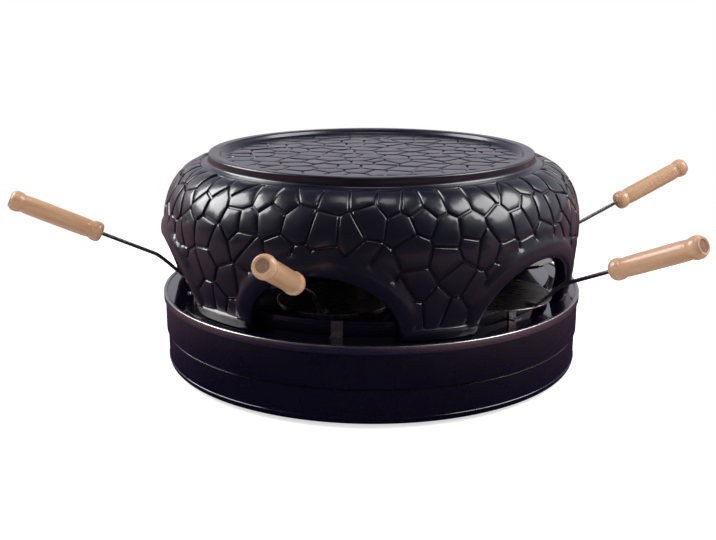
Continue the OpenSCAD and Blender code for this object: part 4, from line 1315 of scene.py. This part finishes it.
def spatula_place(side):
    """Where a spatula lies: its blade centred on Z, its handle towards -Y."""
    blade_low, blade_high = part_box(side + "_blade")
    handle_low, handle_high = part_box(side + "_handle")
    blade = (blade_low + blade_high) / 2 / MM
    out = (handle_low + handle_high) / 2 / MM - blade
    return (Matrix.Translation((blade.x, blade.y, 0))
            @ Matrix.Rotation(math.atan2(out.x, -out.y), 4, "Z"))


def build_blade(side, place):
    low, high = levels(side + "_blade")
    r = (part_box(side + "_blade")[1].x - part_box(side + "_blade")[0].x) / 2 / MM
    line = rounded([(0, low, 0), (r, low, 0.5), (r, high, 0.5), (r - 1.6, high, 0.3), (r - 2.2, high - 0.25, 0.3),
                    (0, high - 0.25, 0)], False)
    tack = [(0, -(r - 12.5), high - 0.3), (0, -(r - 11), high + 0.25), (0, -(r - 2), high + 0.25),
            (0, -(r - 0.8), high - 0.3)]
    weld_bead = swept(tack, [oval(1.5, 0.2), oval(4.4, 0.7), oval(3.9, 0.7), oval(1.5, 0.2)], (1, 0, 0))
    part = moved(merged(revolve(line, 192, False), weld_bead), place)
    piece = add_piece(side + "_disc", *part, [BLADE], side + "_spatula", "blade_steel", sharp=40)
    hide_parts(side + "_blade")


def build_rod(side, place):
    """Flattened on the blade, then round, bent up and straight into the handle."""
    low, high = levels(side + "_blade")
    r = (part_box(side + "_blade")[1].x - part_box(side + "_blade")[0].x) / 2 / MM
    root = np.array([r - 1.5, high + 1.05])
    bend = np.array([BEND_AT, high + BEND_RISE])
    rise = np.array([math.cos(ROD_SLOPE), math.sin(ROD_SLOPE)])
    start = bend + (HANDLE_AT - BEND_AT) / math.cos(ROD_SLOPE) * rise
    held = [root, root + [3, 0.2], bend - 9 * rise, bend]
    weights = lambda t: ((1 - t) ** 3, 3 * (1 - t) ** 2 * t, 3 * (1 - t) * t * t, t ** 3)
    sweep = [sum(w * p for w, p in zip(weights(t), held)) for t in np.linspace(0, 1, 22)]
    path = [root - [10, 0], root - [9.4, 0], root - [4, 0]] + sweep + [start, start + 33 * rise]
    flat = np.interp(np.arange(len(path)), [0, 1, 2, 3, 7, 9], [2.0, 2.6, 3.3, 2.9, 1.9, ROD_R])
    thick = np.interp(np.arange(len(path)), [0, 1, 2, 5, 9], [0.6, 1.0, 1.0, 1.15, ROD_R])
    tube = swept([(0, -d, z) for d, z in path], [oval(w, h) for w, h in zip(flat, thick)], (1, 0, 0))
    part = moved(tube, place)
    piece = add_piece(side + "_wire", *part, [ROD], side + "_spatula", "rod_steel", sharp=50)
    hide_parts(side + "_rod")
    return start, rise


def build_handle(side, place, start, rise, seed):
    """Turned between knobs, with a small bore for the rod and a bare disc let into its far end."""
    half = curve([(3.9, 0.0), (7.2, 1.0), (8.8, 3.2), (9.2, 6.0), (8.8, 9.0), (7.8, 11.8), (8.1, 15.0),
                  (8.25, 20.0), (8.25, 30.0)], 5)
    bore = [(ROD_R, 3.0), (ROD_R + 0.1, 0.6), (2.3, 0.1)]
    far = [(r + 3.0 * max(0, 1 - z) ** 2, HANDLE_L - z) for r, z in half[::-1]]
    recess = [(DISC_R + 0.5, HANDLE_L), (DISC_R + 0.1, HANDLE_L - 0.15), (DISC_R, HANDLE_L - 0.7)]
    disc = [(DISC_R - 0.2, HANDLE_L - 0.75), (DISC_R * 0.5, HANDLE_L - 0.7), (0, HANDLE_L - 0.7)]
    line = bore + half + far + recess + disc
    points, faces = revolve(line, 64, False)
    disc_start = len(points) - 64 * 2 - 1 - 64
    ends = [int(min(face) >= disc_start) for face in faces]
    along = Vector((0, -rise[0], rise[1]))
    tilt = along.to_track_quat("Z", "Y").to_matrix().to_4x4()
    whole = place @ Matrix.Translation((0, -start[0], start[1])) @ tilt
    wood = beech("Beech " + side, (place.to_3x3() @ along).normalized(), seed)
    piece = add_piece(side + "_grip", *moved((points, faces), whole), [wood, END_GRAIN], side + "_spatula",
                      "handle_beech", ends, sharp=60)
    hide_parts(side + "_handle")


for number, side in enumerate(SPATULAS):
    side_place = spatula_place(side)
    build_blade(side, side_place)
    rod_start, rod_rise = build_rod(side, side_place)
    build_handle(side, side_place, rod_start, rod_rise, 3.0 + 1.7 * number)


# ---------------------------------------------------------------- camera, stage and light

CAMERA_AT = Vector((0.2122, -0.9678, 0.3502))
LOOK_AT = Vector((-0.0124, -0.0029, 0.0810))
LENS = 52.79


def add_camera():
    camera = bpy.data.cameras.new("Camera")
    camera.lens = LENS
    camera.sensor_width = 36.0
    holder = bpy.data.objects.new("Camera", camera)
    holder.location = CAMERA_AT
    holder.rotation_euler = (LOOK_AT - CAMERA_AT).to_track_quat("-Z", "Y").to_euler()
    bpy.context.scene.collection.objects.link(holder)
    bpy.context.scene.camera = holder


class Rays:
    """A tree that gives different light to the camera, to reflections and to the rest."""

    def __init__(self, tree):
        self.tree = tree
        self.path = tree.nodes.new("ShaderNodeLightPath")

    def mixed(self, ray, otherwise, when):
        node = self.tree.nodes.new("ShaderNodeMixShader")
        self.tree.links.new(self.path.outputs[ray], node.inputs[0])
        self.tree.links.new(otherwise, node.inputs[1])
        self.tree.links.new(when, node.inputs[2])
        return node.outputs[0]

    def light(self, kind, color, strength):
        node = self.tree.nodes.new(kind)
        node.inputs["Color"].default_value = (*color, 1)
        node.inputs["Strength"].default_value = strength
        return node


FLOOR_GLOW = 0.62
# what polished faces pick up from the table: in front of the object and at its sides
FLOOR_FRONT = (0.010, 0.006, 0.030)
FLOOR_SIDES = (0.30, 0.18, 0.20)


def floor_white():
    """Pale and plain: lit near the object, and white from there out."""
    material = bpy.data.materials.new("Pale floor")
    material.use_nodes = True
    tree = material.node_tree
    rays = Rays(tree)
    out = tree.nodes["Material Output"].inputs["Surface"]
    paint = tree.nodes["Principled BSDF"]
    paint.inputs["Base Color"].default_value = (0.80, 0.80, 0.80, 1)
    paint.inputs["Roughness"].default_value = 0.9
    paint.inputs["Specular IOR Level"].default_value = 0.0
    glow = rays.light("ShaderNodeEmission", (1, 1, 1), FLOOR_GLOW)
    lit = tree.nodes.new("ShaderNodeAddShader")
    tree.links.new(paint.outputs[0], lit.inputs[0])
    tree.links.new(glow.outputs[0], lit.inputs[1])
    white = rays.light("ShaderNodeEmission", (1, 1, 1), 1.0)
    place = tree.nodes.new("ShaderNodeTexCoord").outputs["Object"]
    length = tree.nodes.new("ShaderNodeVectorMath")
    length.operation = "LENGTH"
    tree.links.new(place, length.inputs[0])
    away = tree.nodes.new("ShaderNodeMapRange")
    away.interpolation_type = "SMOOTHSTEP"
    away.inputs["From Min"].default_value = 0.30
    away.inputs["From Max"].default_value = 0.75
    tree.links.new(length.outputs["Value"], away.inputs["Value"])
    shown = tree.nodes.new("ShaderNodeMixShader")
    tree.links.new(away.outputs["Result"], shown.inputs[0])
    tree.links.new(lit.outputs[0], shown.inputs[1])
    tree.links.new(white.outputs[0], shown.inputs[2])
    seen = rays.light("ShaderNodeEmission", FLOOR_SIDES, 1.0)
    split = tree.nodes.new("ShaderNodeSeparateXYZ")
    tree.links.new(place, split.inputs[0])
    aside = tree.nodes.new("ShaderNodeMath")
    aside.operation = "ABSOLUTE"
    tree.links.new(split.outputs[0], aside.inputs[0])
    spread = tree.nodes.new("ShaderNodeMapRange")
    spread.interpolation_type = "SMOOTHSTEP"
    spread.inputs["From Min"].default_value = 0.10
    spread.inputs["From Max"].default_value = 0.75
    tree.links.new(aside.outputs[0], spread.inputs["Value"])
    tint = tree.nodes.new("ShaderNodeMix")
    tint.data_type = "RGBA"
    tint.inputs["A"].default_value = (*FLOOR_FRONT, 1)
    tint.inputs["B"].default_value = (*FLOOR_SIDES, 1)
    tree.links.new(spread.outputs["Result"], tint.inputs["Factor"])
    tree.links.new(tint.outputs["Result"], seen.inputs["Color"])
    plain = rays.mixed("Is Glossy Ray", paint.outputs[0], seen.outputs[0])
    tree.links.new(rays.mixed("Is Camera Ray", plain, shown.outputs[0]), out)
    return material


def add_floor():
    size = 6.0
    mesh = bpy.data.meshes.new("Floor")
    mesh.from_pydata([(-size, -size, 0), (size, -size, 0), (size, size, 0), (-size, size, 0)], [], [(0, 1, 2, 3)])
    floor = bpy.data.objects.new("Floor", mesh)
    mesh.materials.append(floor_white())
    bpy.context.scene.collection.objects.link(floor)


def add_softbox(name, at, aim, size, power, color=(1, 1, 1)):
    lamp = bpy.data.lights.new(name, "AREA")
    lamp.shape = "RECTANGLE"
    lamp.size, lamp.size_y = size
    lamp.energy = power
    lamp.color = color
    holder = bpy.data.objects.new(name, lamp)
    holder.location = at
    holder.rotation_euler = (Vector(aim) - Vector(at)).to_track_quat("-Z", "Y").to_euler()
    bpy.context.scene.collection.objects.link(holder)


AMBIENT = 0.62
# what polished faces see of the room, by height above the horizon (sine), dark low down and in front
ROOM_STOPS = [(0.0, (0.10, 0.07, 0.06)), (0.10, (0.62, 0.58, 0.64)), (0.42, (0.30, 0.31, 0.38)),
              (0.75, (0.03, 0.03, 0.05)), (1.0, (0.02, 0.02, 0.04))]


def add_world():
    """White to the camera, an even fill on matt faces, and a dim room in reflections."""
    world = bpy.data.worlds.new("Studio")
    bpy.context.scene.world = world
    world.use_nodes = True
    tree = world.node_tree
    rays = Rays(tree)
    out = tree.nodes["World Output"].inputs["Surface"]
    fill = tree.nodes["Background"]
    fill.inputs["Color"].default_value = (1, 1, 1, 1)
    fill.inputs["Strength"].default_value = AMBIENT
    white = rays.light("ShaderNodeBackground", (1, 1, 1), 1.0)
    split = tree.nodes.new("ShaderNodeSeparateXYZ")
    tree.links.new(tree.nodes.new("ShaderNodeTexCoord").outputs["Generated"], split.inputs[0])
    ramp = tree.nodes.new("ShaderNodeValToRGB")
    ends = ramp.color_ramp.elements
    while len(ends) < len(ROOM_STOPS):
        ends.new(0.5)
    for element, (at, color) in zip(ends, ROOM_STOPS):
        element.position = at
        element.color = (*color, 1)
    tree.links.new(split.outputs[2], ramp.inputs[0])
    behind = tree.nodes.new("ShaderNodeMapRange")
    for socket, value in (("From Min", -0.35), ("From Max", 0.45), ("To Min", 0.07), ("To Max", 1.0)):
        behind.inputs[socket].default_value = value
    tree.links.new(split.outputs[1], behind.inputs["Value"])
    room = tree.nodes.new("ShaderNodeBackground")
    tree.links.new(ramp.outputs["Color"], room.inputs["Color"])
    tree.links.new(behind.outputs["Result"], room.inputs["Strength"])
    reflected = rays.mixed("Is Glossy Ray", fill.outputs[0], room.outputs[0])
    tree.links.new(rays.mixed("Is Camera Ray", reflected, white.outputs[0]), out)


add_camera()
add_floor()
add_world()
add_softbox("Left softbox", (-1.28, 0.0, 1.02), (0, 0, 0.1), (0.95, 0.9), 22.0)
add_softbox("Right softbox", (1.15, 0.2, 1.2), (0, 0, 0.1), (1.05, 0.9), 20.0)
add_softbox("Top softbox", (0.0, 0.0, 1.7), (0, 0, 0.1), (0.5, 0.5), 2.0)
bpy.context.scene.view_settings.view_transform = "Standard"
